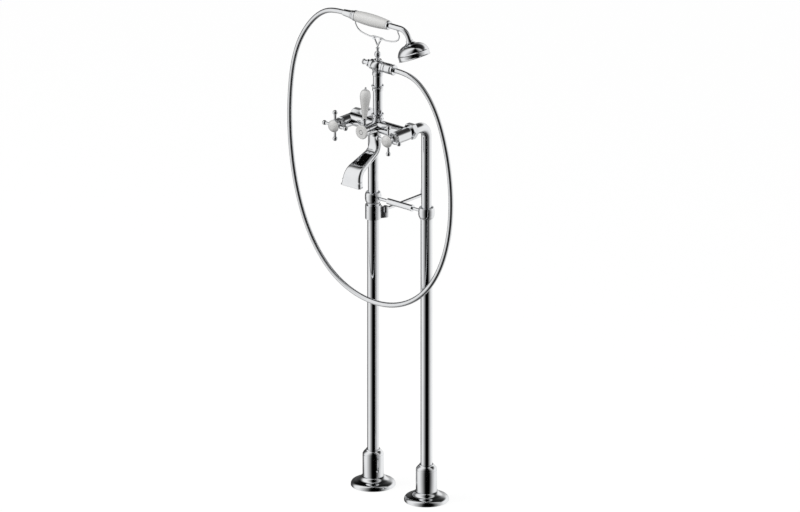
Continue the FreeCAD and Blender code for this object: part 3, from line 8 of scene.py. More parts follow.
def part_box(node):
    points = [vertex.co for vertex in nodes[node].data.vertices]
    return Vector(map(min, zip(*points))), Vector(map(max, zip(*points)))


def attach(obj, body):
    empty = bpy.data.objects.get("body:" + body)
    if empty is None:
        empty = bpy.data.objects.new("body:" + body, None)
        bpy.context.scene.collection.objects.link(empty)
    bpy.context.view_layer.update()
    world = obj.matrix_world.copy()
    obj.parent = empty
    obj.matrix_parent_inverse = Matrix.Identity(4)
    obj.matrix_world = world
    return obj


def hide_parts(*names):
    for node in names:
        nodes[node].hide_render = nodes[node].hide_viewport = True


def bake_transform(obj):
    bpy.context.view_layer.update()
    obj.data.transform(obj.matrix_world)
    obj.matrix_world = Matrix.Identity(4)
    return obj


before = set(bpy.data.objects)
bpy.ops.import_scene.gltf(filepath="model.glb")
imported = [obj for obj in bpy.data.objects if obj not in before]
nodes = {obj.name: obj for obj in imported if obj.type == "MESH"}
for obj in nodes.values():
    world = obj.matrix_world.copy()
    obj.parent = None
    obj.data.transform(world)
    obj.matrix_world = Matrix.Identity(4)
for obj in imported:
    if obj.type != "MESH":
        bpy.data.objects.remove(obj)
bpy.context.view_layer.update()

# ---- the camera ----
# A long lens from the right front and a little above, which draws the parallel pipes as
# parallel. The picture shows the whole part on white, with the hose's loop.
picture_width = 800
pixels_per_metre = 469.3
aim_right = 0.0005
aim_up = 0.5035
camera_distance = 6
camera_turn = math.radians(40.8)
camera_rise = math.radians(19.6)
scene = bpy.context.scene
to_right = Vector((math.cos(camera_turn), math.sin(camera_turn), 0))
to_camera = Vector((math.sin(camera_turn) * math.cos(camera_rise),
                    -math.cos(camera_turn) * math.cos(camera_rise),
                    math.sin(camera_rise)))
to_top = to_camera.cross(to_right)
camera_data = bpy.data.cameras.new("photo_camera")
camera_data.type = "ORTHO"
camera_data.ortho_scale = picture_width / pixels_per_metre
camera = bpy.data.objects.new("photo_camera", camera_data)
scene.collection.objects.link(camera)
camera_place = Matrix((to_right, to_top, to_camera)).transposed().to_4x4()
camera_place.translation = aim_right * to_right + aim_up * to_top + camera_distance * to_camera
camera.matrix_world = camera_place
scene.camera = camera

# ---- the shower hose ----
# A chromed hose of 11 mm wound from a fine flat strip over a rubber core. It is crimped in the
# nut of the outlet, hangs in one wide loop and goes back into the nut of the handset.
hose_points = [
    (0.0475, 0.985), (0.085, 0.985), (0.119, 0.970), (0.149, 0.940), (0.172, 0.900),
    (0.189, 0.850), (0.201, 0.795), (0.207, 0.735), (0.205, 0.672), (0.193, 0.610),
    (0.170, 0.553), (0.136, 0.505), (0.092, 0.470), (0.040, 0.450), (-0.016, 0.446),
    (-0.071, 0.457), (-0.121, 0.482), (-0.163, 0.521), (-0.196, 0.571), (-0.220, 0.629),
    (-0.236, 0.691), (-0.245, 0.755), (-0.248, 0.820), (-0.245, 0.883), (-0.237, 0.940),
    (-0.221, 0.990), (-0.196, 1.032), (-0.165, 1.065), (-0.129, 1.083), (-0.095, 1.083),
]
hose_plane = -0.072
hose_diameter = 0.011
hose_pitch = 0.0032
hose_groove = 0.00022
groove_half_width = 0.22  # as a share of the pitch
hose_route = bpy.data.curves.new("hose_route", "CURVE")
hose_route.dimensions = "3D"
hose_line = hose_route.splines.new("NURBS")
hose_line.points.add(len(hose_points) - 1)
for point, (x, z) in zip(hose_line.points, hose_points):
    point.co = (x, hose_plane, z, 1)
hose_line.order_u = 3
hose_line.use_endpoint_u = True
hose_line.resolution_u = 64
hose_guide = bpy.data.objects.new("hose_route", hose_route)
scene.collection.objects.link(hose_guide)


def hose_as_mesh():
    """The hose's line, or its tube, as Blender makes it from the route."""
    bpy.context.view_layer.update()
    made = hose_guide.evaluated_get(bpy.context.evaluated_depsgraph_get())
    return bpy.data.meshes.new_from_object(made)


hose_path = [vertex.co.copy() for vertex in hose_as_mesh().vertices]
hose_route.bevel_depth = hose_diameter / 2
hose_route.bevel_resolution = 8
hose_tube = hose_as_mesh()
bpy.data.objects.remove(hose_guide)
ring_count = len(hose_tube.vertices) // len(hose_path)
travelled = 0.0
for station, centre in enumerate(hose_path):
    if station:
        travelled += (centre - hose_path[station - 1]).length
    for corner in range(ring_count):
        vertex = hose_tube.vertices[station * ring_count + corner]
        turn = (travelled / hose_pitch + corner / ring_count) % 1
        groove = max(0.0, 1 - abs(turn - 0.5) / groove_half_width)
        out = (vertex.co - centre).normalized()
        vertex.co -= out * hose_groove * groove
hose_skin_mesh = bmesh.new()
hose_skin_mesh.from_mesh(hose_tube)
bmesh.ops.holes_fill(hose_skin_mesh, edges=hose_skin_mesh.edges, sides=ring_count)
bmesh.ops.recalc_face_normals(hose_skin_mesh, faces=hose_skin_mesh.faces)
for face in hose_skin_mesh.faces:
    face.smooth = True
hose_skin_mesh.to_mesh(hose_tube)
hose_skin_mesh.free()
hose = bpy.data.objects.new("hose", hose_tube)
scene.collection.objects.link(hose)
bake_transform(hose)
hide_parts("shower_hose")


def make_buffed_surface():
    """Shader group for a buffed surface: faint clouds of haze and very fine buffing lines."""
    group = bpy.data.node_groups.new("buffed_surface", "ShaderNodeTree")
    sockets = (("Position", "INPUT", "Vector"), ("Roughness", "INPUT", "Float"),
               ("Haze", "INPUT", "Float"), ("Haze Scale", "INPUT", "Float"),
               ("Tint", "INPUT", "Color"), ("Stain", "INPUT", "Color"),
               ("Color", "OUTPUT", "Color"), ("Roughness", "OUTPUT", "Float"),
               ("Height", "OUTPUT", "Float"))
    for name, way, kind in sockets:
        group.interface.new_socket(name=name, in_out=way, socket_type="NodeSocket" + kind)
    made, link = group.nodes.new, group.links.new
    given, put_out = made("NodeGroupInput"), made("NodeGroupOutput")
    clouds = made("ShaderNodeTexNoise")
    clouds.inputs["Detail"].default_value = 4
    link(given.outputs["Position"], clouds.inputs["Vector"])
    link(given.outputs["Haze Scale"], clouds.inputs["Scale"])
    spread = made("ShaderNodeMapRange")
    spread.inputs["From Min"].default_value = 0.35
    spread.inputs["From Max"].default_value = 0.75
    link(clouds.outputs["Fac"], spread.inputs["Value"])
    haze = made("ShaderNodeMath")
    haze.operation = "MULTIPLY_ADD"
    link(spread.outputs["Result"], haze.inputs[0])
    link(given.outputs["Haze"], haze.inputs[1])
    link(given.outputs["Roughness"], haze.inputs[2])
    link(haze.outputs["Value"], put_out.inputs["Roughness"])
    colour = made("ShaderNodeMix")
    colour.data_type = "RGBA"
    link(spread.outputs["Result"], colour.inputs[0])
    link(given.outputs["Tint"], colour.inputs[6])
    link(given.outputs["Stain"], colour.inputs[7])
    link(colour.outputs[2], put_out.inputs["Color"])
    lines = made("ShaderNodeTexNoise")
    lines.inputs["Scale"].default_value = 500
    lines.inputs["Detail"].default_value = 2
    link(given.outputs["Position"], lines.inputs["Vector"])
    link(lines.outputs["Fac"], put_out.inputs["Height"])
    return group


buffed_surface = make_buffed_surface()


def buffed_metal(name, tint, stain, roughness, haze, haze_scale=40.0, relief=0.000004):
    """A bare or plated metal with the buffed surface on it."""
    metal = bpy.data.materials.new(name)
    metal.use_nodes = True
    made, link = metal.node_tree.nodes.new, metal.node_tree.links.new
    shader = metal.node_tree.nodes["Principled BSDF"]
    shader.inputs["Metallic"].default_value = 1.0
    where = made("ShaderNodeTexCoord")
    surface = made("ShaderNodeGroup")
    surface.node_tree = buffed_surface
    surface.inputs["Tint"].default_value = (*tint, 1)
    surface.inputs["Stain"].default_value = (*stain, 1)
    surface.inputs["Roughness"].default_value = roughness
    surface.inputs["Haze"].default_value = haze
    surface.inputs["Haze Scale"].default_value = haze_scale
    link(where.outputs["Object"], surface.inputs["Position"])
    link(surface.outputs["Color"], shader.inputs["Base Color"])
    link(surface.outputs["Roughness"], shader.inputs["Roughness"])
    bump = made("ShaderNodeBump")
    bump.inputs["Strength"].default_value = 0.3
    bump.inputs["Distance"].default_value = relief
    link(surface.outputs["Height"], bump.inputs["Height"])
    link(bump.outputs["Normal"], shader.inputs["Normal"])
    return metal


hose_skin = buffed_metal("hose_chrome", (0.83, 0.84, 0.85), (0.80, 0.81, 0.83), 0.10, 0.05)
hose_tube.materials.append(hose_skin)

# ---- the studio ----
# A white room of light, which isn't part of the object. Polished metal sees darker things in it
# too: a gap behind the camera, a ceiling lit from the front only, a far wall and the floor.
scene.view_settings.view_transform = "Standard"
world = bpy.data.worlds.new("white_room")
scene.world = world
world.use_nodes = True
room = world.node_tree
room.nodes.clear()


def room_node(kind, **settings):
    """A node of the room's light."""
    node = room.nodes.new(kind)
    for name, setting in settings.items():
        setattr(node, name, setting)
    return node


def room_ramp(source, stops):
    """A ramp of grey levels over a value from 0 to 1."""
    ramp = room_node("ShaderNodeValToRGB")
    ramp.color_ramp.interpolation = "B_SPLINE"
    while len(ramp.color_ramp.elements) < len(stops):
        ramp.color_ramp.elements.new(0.5)
    for element, (place, grey) in zip(ramp.color_ramp.elements, stops):
        element.position = place
        element.color = (grey, grey, grey, 1)
    room.links.new(source, ramp.inputs["Fac"])
    return ramp.outputs["Color"]


def as_share(source):
    """A value from -1 to 1 as a share from 0 to 1."""
    part = room_node("ShaderNodeMapRange")
    part.inputs["From Min"].default_value = -1
    room.links.new(source, part.inputs["Value"])
    return part.outputs["Result"]


def towards(degrees):
    """How far a direction turns to a bearing, counted from the camera's: 0 is away from it."""
    turn = camera_turn + math.radians(degrees)
    facing = room_node("ShaderNodeVectorMath", operation="DOT_PRODUCT")
    facing.inputs[1].default_value = (math.sin(turn), -math.cos(turn), 0)
    room.links.new(bearing.outputs["Vector"], facing.inputs[0])
    return as_share(facing.outputs["Value"])


def laid_over(way, first, second):
    """Two grey pictures of the room put together."""
    mix = room_node("ShaderNodeMix", data_type="RGBA", blend_type=way)
    mix.inputs[0].default_value = 1
    room.links.new(first, mix.inputs[6])
    room.links.new(second, mix.inputs[7])
    return mix.outputs[2]


def glow(strength=1.0):
    """White light of one strength from every side."""
    background = room_node("ShaderNodeBackground")
    background.inputs["Color"].default_value = (1, 1, 1, 1)
    background.inputs["Strength"].default_value = strength
    return background


def seen_by(rays, special, usual):
    """One light for rays of this kind, and another for all other rays."""
    choice = room_node("ShaderNodeMixShader")
    room.links.new(ray.outputs[rays], choice.inputs["Fac"])
    room.links.new(usual, choice.inputs[1])
    room.links.new(special, choice.inputs[2])
    return choice.outputs["Shader"]


direction = room_node("ShaderNodeTexCoord").outputs["Generated"]
flattened = room_node("ShaderNodeVectorMath", operation="MULTIPLY")
flattened.inputs[1].default_value = (1, 1, 0)
room.links.new(direction, flattened.inputs[0])
bearing = room_node("ShaderNodeVectorMath", operation="NORMALIZE")
room.links.new(flattened.outputs["Vector"], bearing.inputs[0])
split = room_node("ShaderNodeSeparateXYZ")
room.links.new(direction, split.inputs["Vector"])
height = as_share(split.outputs["Z"])

gap = room_ramp(towards(10), [(0, 1), (0.5, 1), (0.62, 0.8), (0.79, 0.45), (0.91, 0.1),
                              (0.955, 0), (1, 0)])
ceiling = room_ramp(height, [(0, 1), (0.5, 1), (0.68, 1), (0.73, 0.5), (0.78, 0.04),
                             (0.9, 0.01), (1, 0.01)])
front_light = room_ramp(towards(154), [(0, 1), (0.58, 1), (0.65, 0.9), (0.71, 0.3),
                                       (0.77, 0), (1, 0)])
far_wall = room_ramp(towards(207), [(0, 1), (0.5, 1), (0.84, 0.97), (0.9, 0.55),
                                    (0.95, 0.1), (1, 0.04)])
low_light = room_ramp(height, [(0, 1), (0.1, 1), (0.17, 0.5), (0.24, 0), (1, 0)])
dark_floor = room_ramp(height, [(0, 0.12), (0.06, 0.2), (0.13, 0.6), (0.2, 1), (1, 1)])
mirrored = laid_over("MULTIPLY", gap, laid_over("LIGHTEN", ceiling, front_light))
mirrored = laid_over("MULTIPLY", mirrored, laid_over("LIGHTEN", far_wall, low_light))
mirrored = laid_over("MULTIPLY", mirrored, dark_floor)
even_light = 0.62
in_metal = glow()
room.links.new(mirrored, in_metal.inputs["Color"])
ray = room_node("ShaderNodeLightPath")
room_light = seen_by("Is Glossy Ray", in_metal.outputs["Background"],
                     glow(even_light).outputs["Background"])
room_light = seen_by("Is Camera Ray", glow().outputs["Background"], room_light)
room_out = room_node("ShaderNodeOutputWorld")
room.links.new(room_light, room_out.inputs["Surface"])

floor_half_width = 6
floor_grey = (0.14, 0.14, 0.14, 1)
floor_brightness = 0.9
floor_mesh = bmesh.new()
bmesh.ops.create_grid(floor_mesh, x_segments=1, y_segments=1, size=floor_half_width)
floor_data = bpy.data.meshes.new("floor")
floor_mesh.to_mesh(floor_data)
floor_mesh.free()
floor = bpy.data.objects.new("floor", floor_data)
scene.collection.objects.link(floor)
floor.visible_glossy = False
floor_white = bpy.data.materials.new("floor_white")
floor_white.use_nodes = True
floor_tree = floor_white.node_tree
floor_tree.nodes.clear()
floor_paint = floor_tree.nodes.new("ShaderNodeBsdfDiffuse")
floor_paint.inputs["Color"].default_value = floor_grey
floor_glow = floor_tree.nodes.new("ShaderNodeEmission")
floor_ray = floor_tree.nodes.new("ShaderNodeLightPath")
floor_level = floor_tree.nodes.new("ShaderNodeMath")
floor_level.operation = "MULTIPLY"
floor_level.inputs[1].default_value = floor_brightness
floor_tree.links.new(floor_ray.outputs["Is Camera Ray"], floor_level.inputs[0])
floor_tree.links.new(floor_level.outputs["Value"], floor_glow.inputs["Strength"])
floor_both = floor_tree.nodes.new("ShaderNodeAddShader")
floor_out = floor_tree.nodes.new("ShaderNodeOutputMaterial")
floor_tree.links.new(floor_paint.outputs["BSDF"], floor_both.inputs[0])
floor_tree.links.new(floor_glow.outputs["Emission"], floor_both.inputs[1])
floor_tree.links.new(floor_both.outputs["Shader"], floor_out.inputs["Surface"])
floor_data.materials.append(floor_white)


def soft_lamp(name, side, power, place):
    """A square lamp that points at the middle of the part and doesn't show in the metal."""
    lamp_data = bpy.data.lights.new(name, "AREA")
    lamp_data.shape = "SQUARE"
    lamp_data.size = side
    lamp_data.energy = power
    lamp = bpy.data.objects.new(name, lamp_data)
    scene.collection.objects.link(lamp)
    lamp.location = place
    lamp.rotation_euler = (Vector(place) - lamp_aim).to_track_quat("Z", "Y").to_euler()
    lamp.visible_glossy = False


lamp_aim = Vector((0, 0, 0.6))
soft_lamp("left_softbox", 1.6, 26, (-1.6, -1.9, 2.2))
soft_lamp("right_softbox", 1.2, 8, (2.2, -0.8, 1.4))

# ---- the feet ----
# Each pipe stands in a brass floor plate with a socket, screwed to the floor. A spun cover with
# a domed crown hides it, and a turned collar slides down the pipe over the socket.
chrome = buffed_metal("polished_chrome", (0.86, 0.87, 0.88), (0.82, 0.83, 0.85), 0.04, 0.02)
cast_brass = buffed_metal("cast_brass", (0.62, 0.44, 0.20), (0.48, 0.33, 0.15), 0.42, 0.2,
                          haze_scale=25, relief=0.0003)
pipe_half_spacing = 0.075
sharp_from = math.radians(40)


def finish_nodes(material, *names):
    """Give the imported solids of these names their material."""
    for name in names:
        solid = nodes[name]
        if not solid.material_slots:
            solid.data.materials.append(material)
        for slot in solid.material_slots:
            slot.material = material


def spun(name, material, body, section, middle):
    """A piece turned on a lathe from a closed section of (radius, height) points in metres."""
    lathe = bmesh.new()
    centre = Vector(middle)
    points = [lathe.verts.new(centre + Vector((radius, 0, height))) for radius, height in section]
    edges = [lathe.edges.new(pair) for pair in zip(points, points[1:] + points[:1])]
    bmesh.ops.spin(lathe, geom=points + edges, cent=centre, axis=(0, 0, 1), angle=math.tau,
                   steps=72, use_merge=True)
    bmesh.ops.recalc_face_normals(lathe, faces=lathe.faces)
    for face in lathe.faces:
        face.smooth = True
    for edge in lathe.edges:
        edge.smooth = edge.calc_face_angle(0) < sharp_from
    mesh = bpy.data.meshes.new(name)
    lathe.to_mesh(mesh)
    lathe.free()
    mesh.materials.append(material)
    turned_piece = bpy.data.objects.new(name, mesh)
    scene.collection.objects.link(turned_piece)
    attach(turned_piece, body)
    return turned_piece


finish_nodes(cast_brass, "hot_floor_plate", "cold_floor_plate")
# The crown of the cover swells from a rounded rim, runs nearly level and then sweeps up to the
# collar. The inside follows it at the thickness of the sheet.
socket_clear = 0.0198
cover_section = [
    (0.0470, 0.0000), (0.0476, 0.0006), (0.0477, 0.0040), (0.0472, 0.0062), (0.0460, 0.0082),
    (0.0442, 0.0098), (0.0418, 0.0110), (0.0390, 0.0119), (0.0362, 0.0126), (0.0340, 0.0132),
    (0.0322, 0.0140), (0.0306, 0.0152), (0.0290, 0.0168), (0.0274, 0.0188), (0.0258, 0.0206),
    (0.0242, 0.0217), (0.0226, 0.0220), (socket_clear, 0.0220), (socket_clear, 0.0204),
    (0.0238, 0.0202), (0.0262, 0.0180), (0.0286, 0.0150), (0.0310, 0.0130), (0.0350, 0.0112),
    (0.0412, 0.0094), (0.0448, 0.0072), (0.0460, 0.0040), (0.0460, 0.0000),
]
# The collar has a fine groove below its rounded shoulder, which closes on the pipe.
pipe_clear = 0.0126
collar_section = [
    (socket_clear, 0.0220), (0.0224, 0.0220), (0.0225, 0.0224), (0.0225, 0.0690), (0.0223, 0.0693),
    (0.0219, 0.0694), (0.0219, 0.0701), (0.0223, 0.0702), (0.0225, 0.0705), (0.0224, 0.0716),
    (0.0220, 0.0728), (0.0212, 0.0742), (0.0201, 0.0757), (0.0188, 0.0772), (0.0174, 0.0785),
    (0.0163, 0.0794), (0.0157, 0.0801), (0.0154, 0.0810), (0.0152, 0.0818), (0.0148, 0.0820),
    (pipe_clear, 0.0820), (pipe_clear, 0.0704), (socket_clear, 0.0704),
]
for side, pipe_x in (("hot", -pipe_half_spacing), ("cold", pipe_half_spacing)):
    foot_middle = (pipe_x, 0, 0)
    cover = spun(f"{side}_cover", chrome, "stand", cover_section, foot_middle)
    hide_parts(f"{side}_foot_cover")
    collar = spun(f"{side}_collar", chrome, "stand", collar_section, foot_middle)
    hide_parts(f"{side}_foot_collar")

# ---- the supply pipes ----
# Two chromed brass tubes, a thicker lower one and a thinner upper one with a bend, which meet
# in a bell shaped joint with a cupped lip.
finish_nodes(chrome, "hot_lower_pipe", "cold_lower_pipe", "hot_pipe_joint", "cold_pipe_joint",
             "hot_upper_pipe", "cold_upper_pipe", "hot_union_nut", "cold_union_nut")
seal_rubber = bpy.data.materials.new("seal_rubber")
seal_rubber.use_nodes = True
rubber = seal_rubber.node_tree
rubber_shader = rubber.nodes["Principled BSDF"]
rubber_shader.inputs["Specular IOR Level"].default_value = 0.35
rubber_cloud = rubber.nodes.new("ShaderNodeTexNoise")
rubber_cloud.inputs["Scale"].default_value = 300
rubber_where = rubber.nodes.new("ShaderNodeTexCoord")
rubber.links.new(rubber_where.outputs["Object"], rubber_cloud.inputs["Vector"])
rubber_tint = rubber.nodes.new("ShaderNodeValToRGB")
rubber_tint.color_ramp.elements[0].color = (0.012, 0.012, 0.013, 1)
rubber_tint.color_ramp.elements[1].color = (0.03, 0.03, 0.032, 1)
rubber.links.new(rubber_cloud.outputs["Fac"], rubber_tint.inputs["Fac"])
rubber.links.new(rubber_tint.outputs["Color"], rubber_shader.inputs["Base Color"])
rubber_rough = rubber.nodes.new("ShaderNodeMapRange")
rubber_rough.inputs["To Min"].default_value = 0.5
rubber_rough.inputs["To Max"].default_value = 0.75
rubber.links.new(rubber_cloud.outputs["Fac"], rubber_rough.inputs["Value"])
rubber.links.new(rubber_rough.outputs["Result"], rubber_shader.inputs["Roughness"])
finish_nodes(seal_rubber, "union_washers")

# ---- the spreader bar and the wall stay ----
# A chromed tube on two studs, locked by a thin ring, holds the pipes apart. A clamp on the hot
# pipe, a rod on a pivot screw and a round pad tie the pair to the wall.
finish_nodes(chrome, "spreader_tube", "spreader_studs", "spreader_lock_ring", "stay_clamp",
             "stay_arm", "stay_pad")
screw_steel = buffed_metal("screw_steel", (0.55, 0.55, 0.56), (0.46, 0.46, 0.47), 0.24, 0.12)
finish_nodes(screw_steel, "stay_pivot_screw")

# ---- the mixer ----
# One cast and chromed brass body with a barrel for each valve, a hub for the diverter, a boss
# for the riser above and one for the spout below. The valves are brass with chromed bonnets.
plain_brass = buffed_metal("turned_brass", (0.76, 0.57, 0.27), (0.66, 0.48, 0.21), 0.2, 0.12)
finish_nodes(chrome, "mixer_body", "hot_bonnet", "cold_bonnet")
finish_nodes(plain_brass, "hot_valve", "cold_valve", "hot_spindle", "cold_spindle")

# ---- the cross handles ----
# A chromed brass hub with four short arms that end in balls. A glazed porcelain dome covers
# the screw in the middle.


def glazed(name, body_colour, warm_colour):
    """White glazed porcelain: a clear coat over a body with very soft clouds of tone."""
    ware = bpy.data.materials.new(name)
    ware.use_nodes = True
    made, link = ware.node_tree.nodes.new, ware.node_tree.links.new
    shader = ware.node_tree.nodes["Principled BSDF"]
    shader.inputs["Coat Weight"].default_value = 1.0
    shader.inputs["Coat Roughness"].default_value = 0.03
    where = made("ShaderNodeTexCoord")
    cloud = made("ShaderNodeTexNoise")
    cloud.inputs["Scale"].default_value = 22
    cloud.inputs["Detail"].default_value = 3
    link(where.outputs["Object"], cloud.inputs["Vector"])
    tone = made("ShaderNodeValToRGB")
    tone.color_ramp.elements[0].position = 0.3
    tone.color_ramp.elements[0].color = (*body_colour, 1)
    tone.color_ramp.elements[1].position = 0.8
    tone.color_ramp.elements[1].color = (*warm_colour, 1)
    link(cloud.outputs["Fac"], tone.inputs["Fac"])
    link(tone.outputs["Color"], shader.inputs["Base Color"])
    gloss = made("ShaderNodeMapRange")
    gloss.inputs["To Min"].default_value = 0.14
    gloss.inputs["To Max"].default_value = 0.24
    link(cloud.outputs["Fac"], gloss.inputs["Value"])
    link(gloss.outputs["Result"], shader.inputs["Roughness"])
    ripple = made("ShaderNodeTexNoise")
    ripple.inputs["Scale"].default_value = 70
    link(where.outputs["Object"], ripple.inputs["Vector"])
    bump = made("ShaderNodeBump")
    bump.inputs["Strength"].default_value = 0.05
    bump.inputs["Distance"].default_value = 0.00002
    link(ripple.outputs["Fac"], bump.inputs["Height"])
    link(bump.outputs["Normal"], shader.inputs["Normal"])
    return ware


porcelain = glazed("porcelain", (0.83, 0.83, 0.82), (0.79, 0.785, 0.77))
finish_nodes(chrome, "hot_cross_handle", "cold_cross_handle")
finish_nodes(porcelain, "hot_handle_dome", "cold_handle_dome")

# ---- the diverter ----
# A chromed lever with a glazed porcelain grip turns the brass spindle of the cartridge. A porcelain disc
# closes its hub, with a thin dark grey ring on its front that stands barely proud.
finish_nodes(chrome, "diverter_cartridge", "lever_hub", "lever_ferrule", "lever_finial")
finish_nodes(plain_brass, "diverter_spindle")
finish_nodes(porcelain, "lever_grip", "index_disc")
index_ring_radius = 0.0046
index_ring_line = 0.0009
crown_line = index_ring_line * 0.6
ring_proud = 0.00008
ring_root = 0.0004
index_low, index_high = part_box("index_disc")
index_section = bmesh.new()
ring_front = index_low[1] - ring_proud
ring_back = index_low[1] + ring_root
ring_middle = (index_low[2] + index_high[2]) / 2
section_corners = [(index_ring_radius - index_ring_line, ring_back),
                   (index_ring_radius - crown_line, ring_front),
                   (index_ring_radius + crown_line, ring_front),
                   (index_ring_radius + index_ring_line, ring_back)]
section_points = [index_section.verts.new((x, y, ring_middle)) for x, y in section_corners]
section_edges = [index_section.edges.new(pair) for pair in zip(section_points, section_points[1:])]
bmesh.ops.spin(index_section, geom=section_points + section_edges, cent=(0, 0, ring_middle),
               axis=(0, 1, 0), angle=math.tau, steps=48, use_merge=True)
bmesh.ops.recalc_face_normals(index_section, faces=index_section.faces)
index_mesh = bpy.data.meshes.new("index_ring")
index_section.to_mesh(index_mesh)
index_section.free()
for polygon in index_mesh.polygons:
    polygon.use_smooth = True
index_ring = bpy.data.objects.new("index_ring", index_mesh)
scene.collection.objects.link(index_ring)
index_ring_grey = glazed("index_ring_grey", (0.2, 0.205, 0.21), (0.16, 0.165, 0.17))
index_mesh.materials.append(index_ring_grey)
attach(index_ring, "diverter_lever")

# ---- the spout ----
# A hollow brass casting, chromed outside. Its round neck turns in the mixer's boss, and it
# sweeps down and forward while it grows flat and wide, to a lipped mouth.
spout_top = 0.8297
spout_back = -0.080
# The legs of its middle line: a length, or the radius of a bend, and the degrees below level
# at its two ends.
spout_legs = [(0.0159, 90, 90), (0.026, 90, 24), (0.046, 24, 24), (0.027, 24, 82),
              (0.0165, 82, 82)]
neck_half = Vector((0.0135, 0.010))
middle_half_depth = 0.0065
mouth_half = Vector((0.0265, 0.007))
spout_corner = 0.005
spout_wall = 0.0018
lip_width = 0.001
lip_height = 0.0024
flare = 1.6  # the power by which the width grows along the spout
neck_share = 0.3  # of the length, in which the neck slims
nose_share = 0.3  # of the length, in which the nose thickens again
mouth_gap = 0.0016  # between the swept rings and the end of the middle line


def spout_places(spacing=0.0012):
    """Drop, reach, heading below level and length so far, along the middle of the spout."""
    drop = reach = length = 0.0
    places = [(0.0, 0.0, math.radians(90), 0.0)]
    for size, first, last in spout_legs:
        turn = math.radians(last - first)
        run = size * abs(turn) if turn else size
        steps = math.ceil(run / spacing)
        for step in range(steps):
            middle = math.radians(first) + turn * (step + 0.5) / steps
            drop += run / steps * math.sin(middle)
            reach += run / steps * math.cos(middle)
            length += run / steps
            places.append((drop, reach, math.radians(first) + turn * (step + 1) / steps, length))
    return places


def eased(part):
    """A share from 0 to 1 that starts and stops gently."""
    part = min(1.0, max(0.0, part))
    return part * part * (3 - 2 * part)


def turned_step(number):
    """The direction of the straight side that follows a corner."""
    return Vector(((-1, 0), (0, -1), (1, 0), (0, 1))[number])


def spout_ring(mesh, drop, reach, heading, share, inset):
    """The corners of one closed section of the spout, inset from its outside."""
    widening = share ** flare
    half_width = neck_half.x * (1 - widening) + mouth_half.x * widening - inset
    slimming = eased(share / neck_share)
    half_depth = neck_half.y * (1 - slimming) + middle_half_depth * slimming
    half_depth += (mouth_half.y - middle_half_depth) * eased((share - 1 + nose_share) / nose_share) - inset
    corner = min(half_depth * 0.96, spout_corner * (2 - slimming) - inset)
    arc_steps, side_steps = 8, 5
    flat = []
    for number, (sx, sy) in enumerate(((1, 1), (-1, 1), (-1, -1), (1, -1))):
        centre = Vector((sx * (half_width - corner), sy * (half_depth - corner)))
        for step in range(arc_steps + 1):
            angle = math.radians(90 * (number + step / arc_steps))
            flat.append(centre + corner * Vector((math.cos(angle), math.sin(angle))))
        along = half_width - corner if number % 2 == 0 else half_depth - corner
        for step in range(1, side_steps):
            flat.append(flat[-1] + turned_step(number) * (2 * along / side_steps))
    return [mesh.verts.new((across, spout_back - reach - up * math.sin(heading),
                            spout_top - drop + up * math.cos(heading))) for across, up in flat]


spout_shell = bmesh.new()
places = spout_places()
end_drop, end_reach, _, full_length = places[-1]
rings = [spout_ring(spout_shell, drop, reach, heading, length / full_length, 0)
         for drop, reach, heading, length in places if length < full_length - mouth_gap]
# The lip and the mouth: how far above the outlet each ring lies, and how far it is inset.
soft_edge = 0.0004
mouth_rounding = 0.0005
water_depth = 0.014
mouth_rings = [(lip_height + soft_edge, 0), (lip_height, -lip_width / 2),
               (lip_height - soft_edge, -lip_width), (mouth_rounding, -lip_width),
               (0, -lip_width / 2), (0, spout_wall * 0.6), (mouth_rounding, spout_wall),
               (0.005, spout_wall), (water_depth, spout_wall)]
rings = [ring for ring in rings if min(v.co.z for v in ring) > spout_top - end_drop + lip_height]
for above, inset in mouth_rings:
    rings.append(spout_ring(spout_shell, end_drop - above, end_reach, math.radians(90), 1, inset))
for ring, following in zip(rings, rings[1:]):
    for corner, vertex in enumerate(ring):
        after = (corner + 1) % len(ring)
        spout_shell.faces.new((vertex, following[corner], following[after], ring[after]))
spout_shell.faces.new(rings[0])
spout_shell.faces.new(list(reversed(rings[-1])))
bmesh.ops.recalc_face_normals(spout_shell, faces=spout_shell.faces)
spare = [vertex for vertex in spout_shell.verts if not vertex.link_faces]
bmesh.ops.delete(spout_shell, geom=spare, context="VERTS")
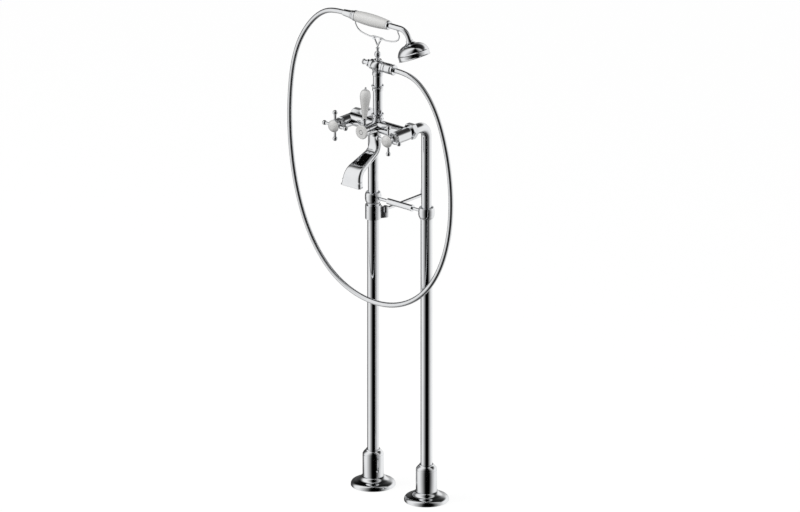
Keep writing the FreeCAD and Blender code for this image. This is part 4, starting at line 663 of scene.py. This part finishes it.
# The spigot has two grooves for the seal rings.
spigot_radius = 0.008
spigot_groove = 0.007
spigot_section = [
    (0, -0.009), (spigot_radius, -0.009),
    (spigot_radius, 0.0035), (spigot_groove, 0.0036), (spigot_groove, 0.0052), (spigot_radius, 0.0053),
    (spigot_radius, 0.0077), (spigot_groove, 0.0078), (spigot_groove, 0.0094), (spigot_radius, 0.0095),
    (spigot_radius, 0.0115), (0.0075, 0.012), (0, 0.012),
]
spigot = bmesh.new()
spigot_points = [spigot.verts.new((radius, spout_back, spout_top + height))
                 for radius, height in spigot_section]
spigot_edges = [spigot.edges.new(pair) for pair in zip(spigot_points, spigot_points[1:])]
bmesh.ops.spin(spigot, geom=spigot_points + spigot_edges, cent=(0, spout_back, 0), axis=(0, 0, 1),
               angle=math.tau, steps=48, use_merge=True)
bmesh.ops.remove_doubles(spigot, verts=spigot.verts, dist=1e-6)
bmesh.ops.recalc_face_normals(spigot, faces=spigot.faces)
spout_mesh = bpy.data.meshes.new("smooth_spout")
spigot.to_mesh(spout_mesh)
spout_shell.from_mesh(spout_mesh)
spigot.free()
# The flat caps have many corners and stay sharp.
for face in spout_shell.faces:
    face.smooth = len(face.verts) <= 4
spout_shell.to_mesh(spout_mesh)
spout_shell.free()
smooth_spout = bpy.data.objects.new("smooth_spout", spout_mesh)
scene.collection.objects.link(smooth_spout)
spout_mesh.materials.append(chrome)
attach(smooth_spout, "swivel_spout")
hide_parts("spout")
finish_nodes(seal_rubber, "spout_orings")

# ---- the riser, the shower tee and the cradle ----
# A chromed tube with two cupped rings. The tee turns on its top, with a plug at one end and
# the hose nut at the other, and a turned stem and a fork hold the handset's wire.
finish_nodes(chrome, "riser_pipe", "riser_base_ring", "riser_top_ring", "shower_tee",
             "tee_plug", "hose_outlet_nut", "cradle_stem", "cradle_fork")

# ---- the handset ----
# A porcelain grip on a brass tube, held between two chromed ferrules. A bent neck carries the
# spun rose with its drilled face, and a bent wire hangs the whole on the fork.
finish_nodes(chrome, "front_ferrule", "rear_ferrule", "handset_hose_nut", "handset_neck",
             "rose_bell", "rose_face", "hanging_wire")
finish_nodes(plain_brass, "handset_tube")
finish_nodes(porcelain, "handset_grip")
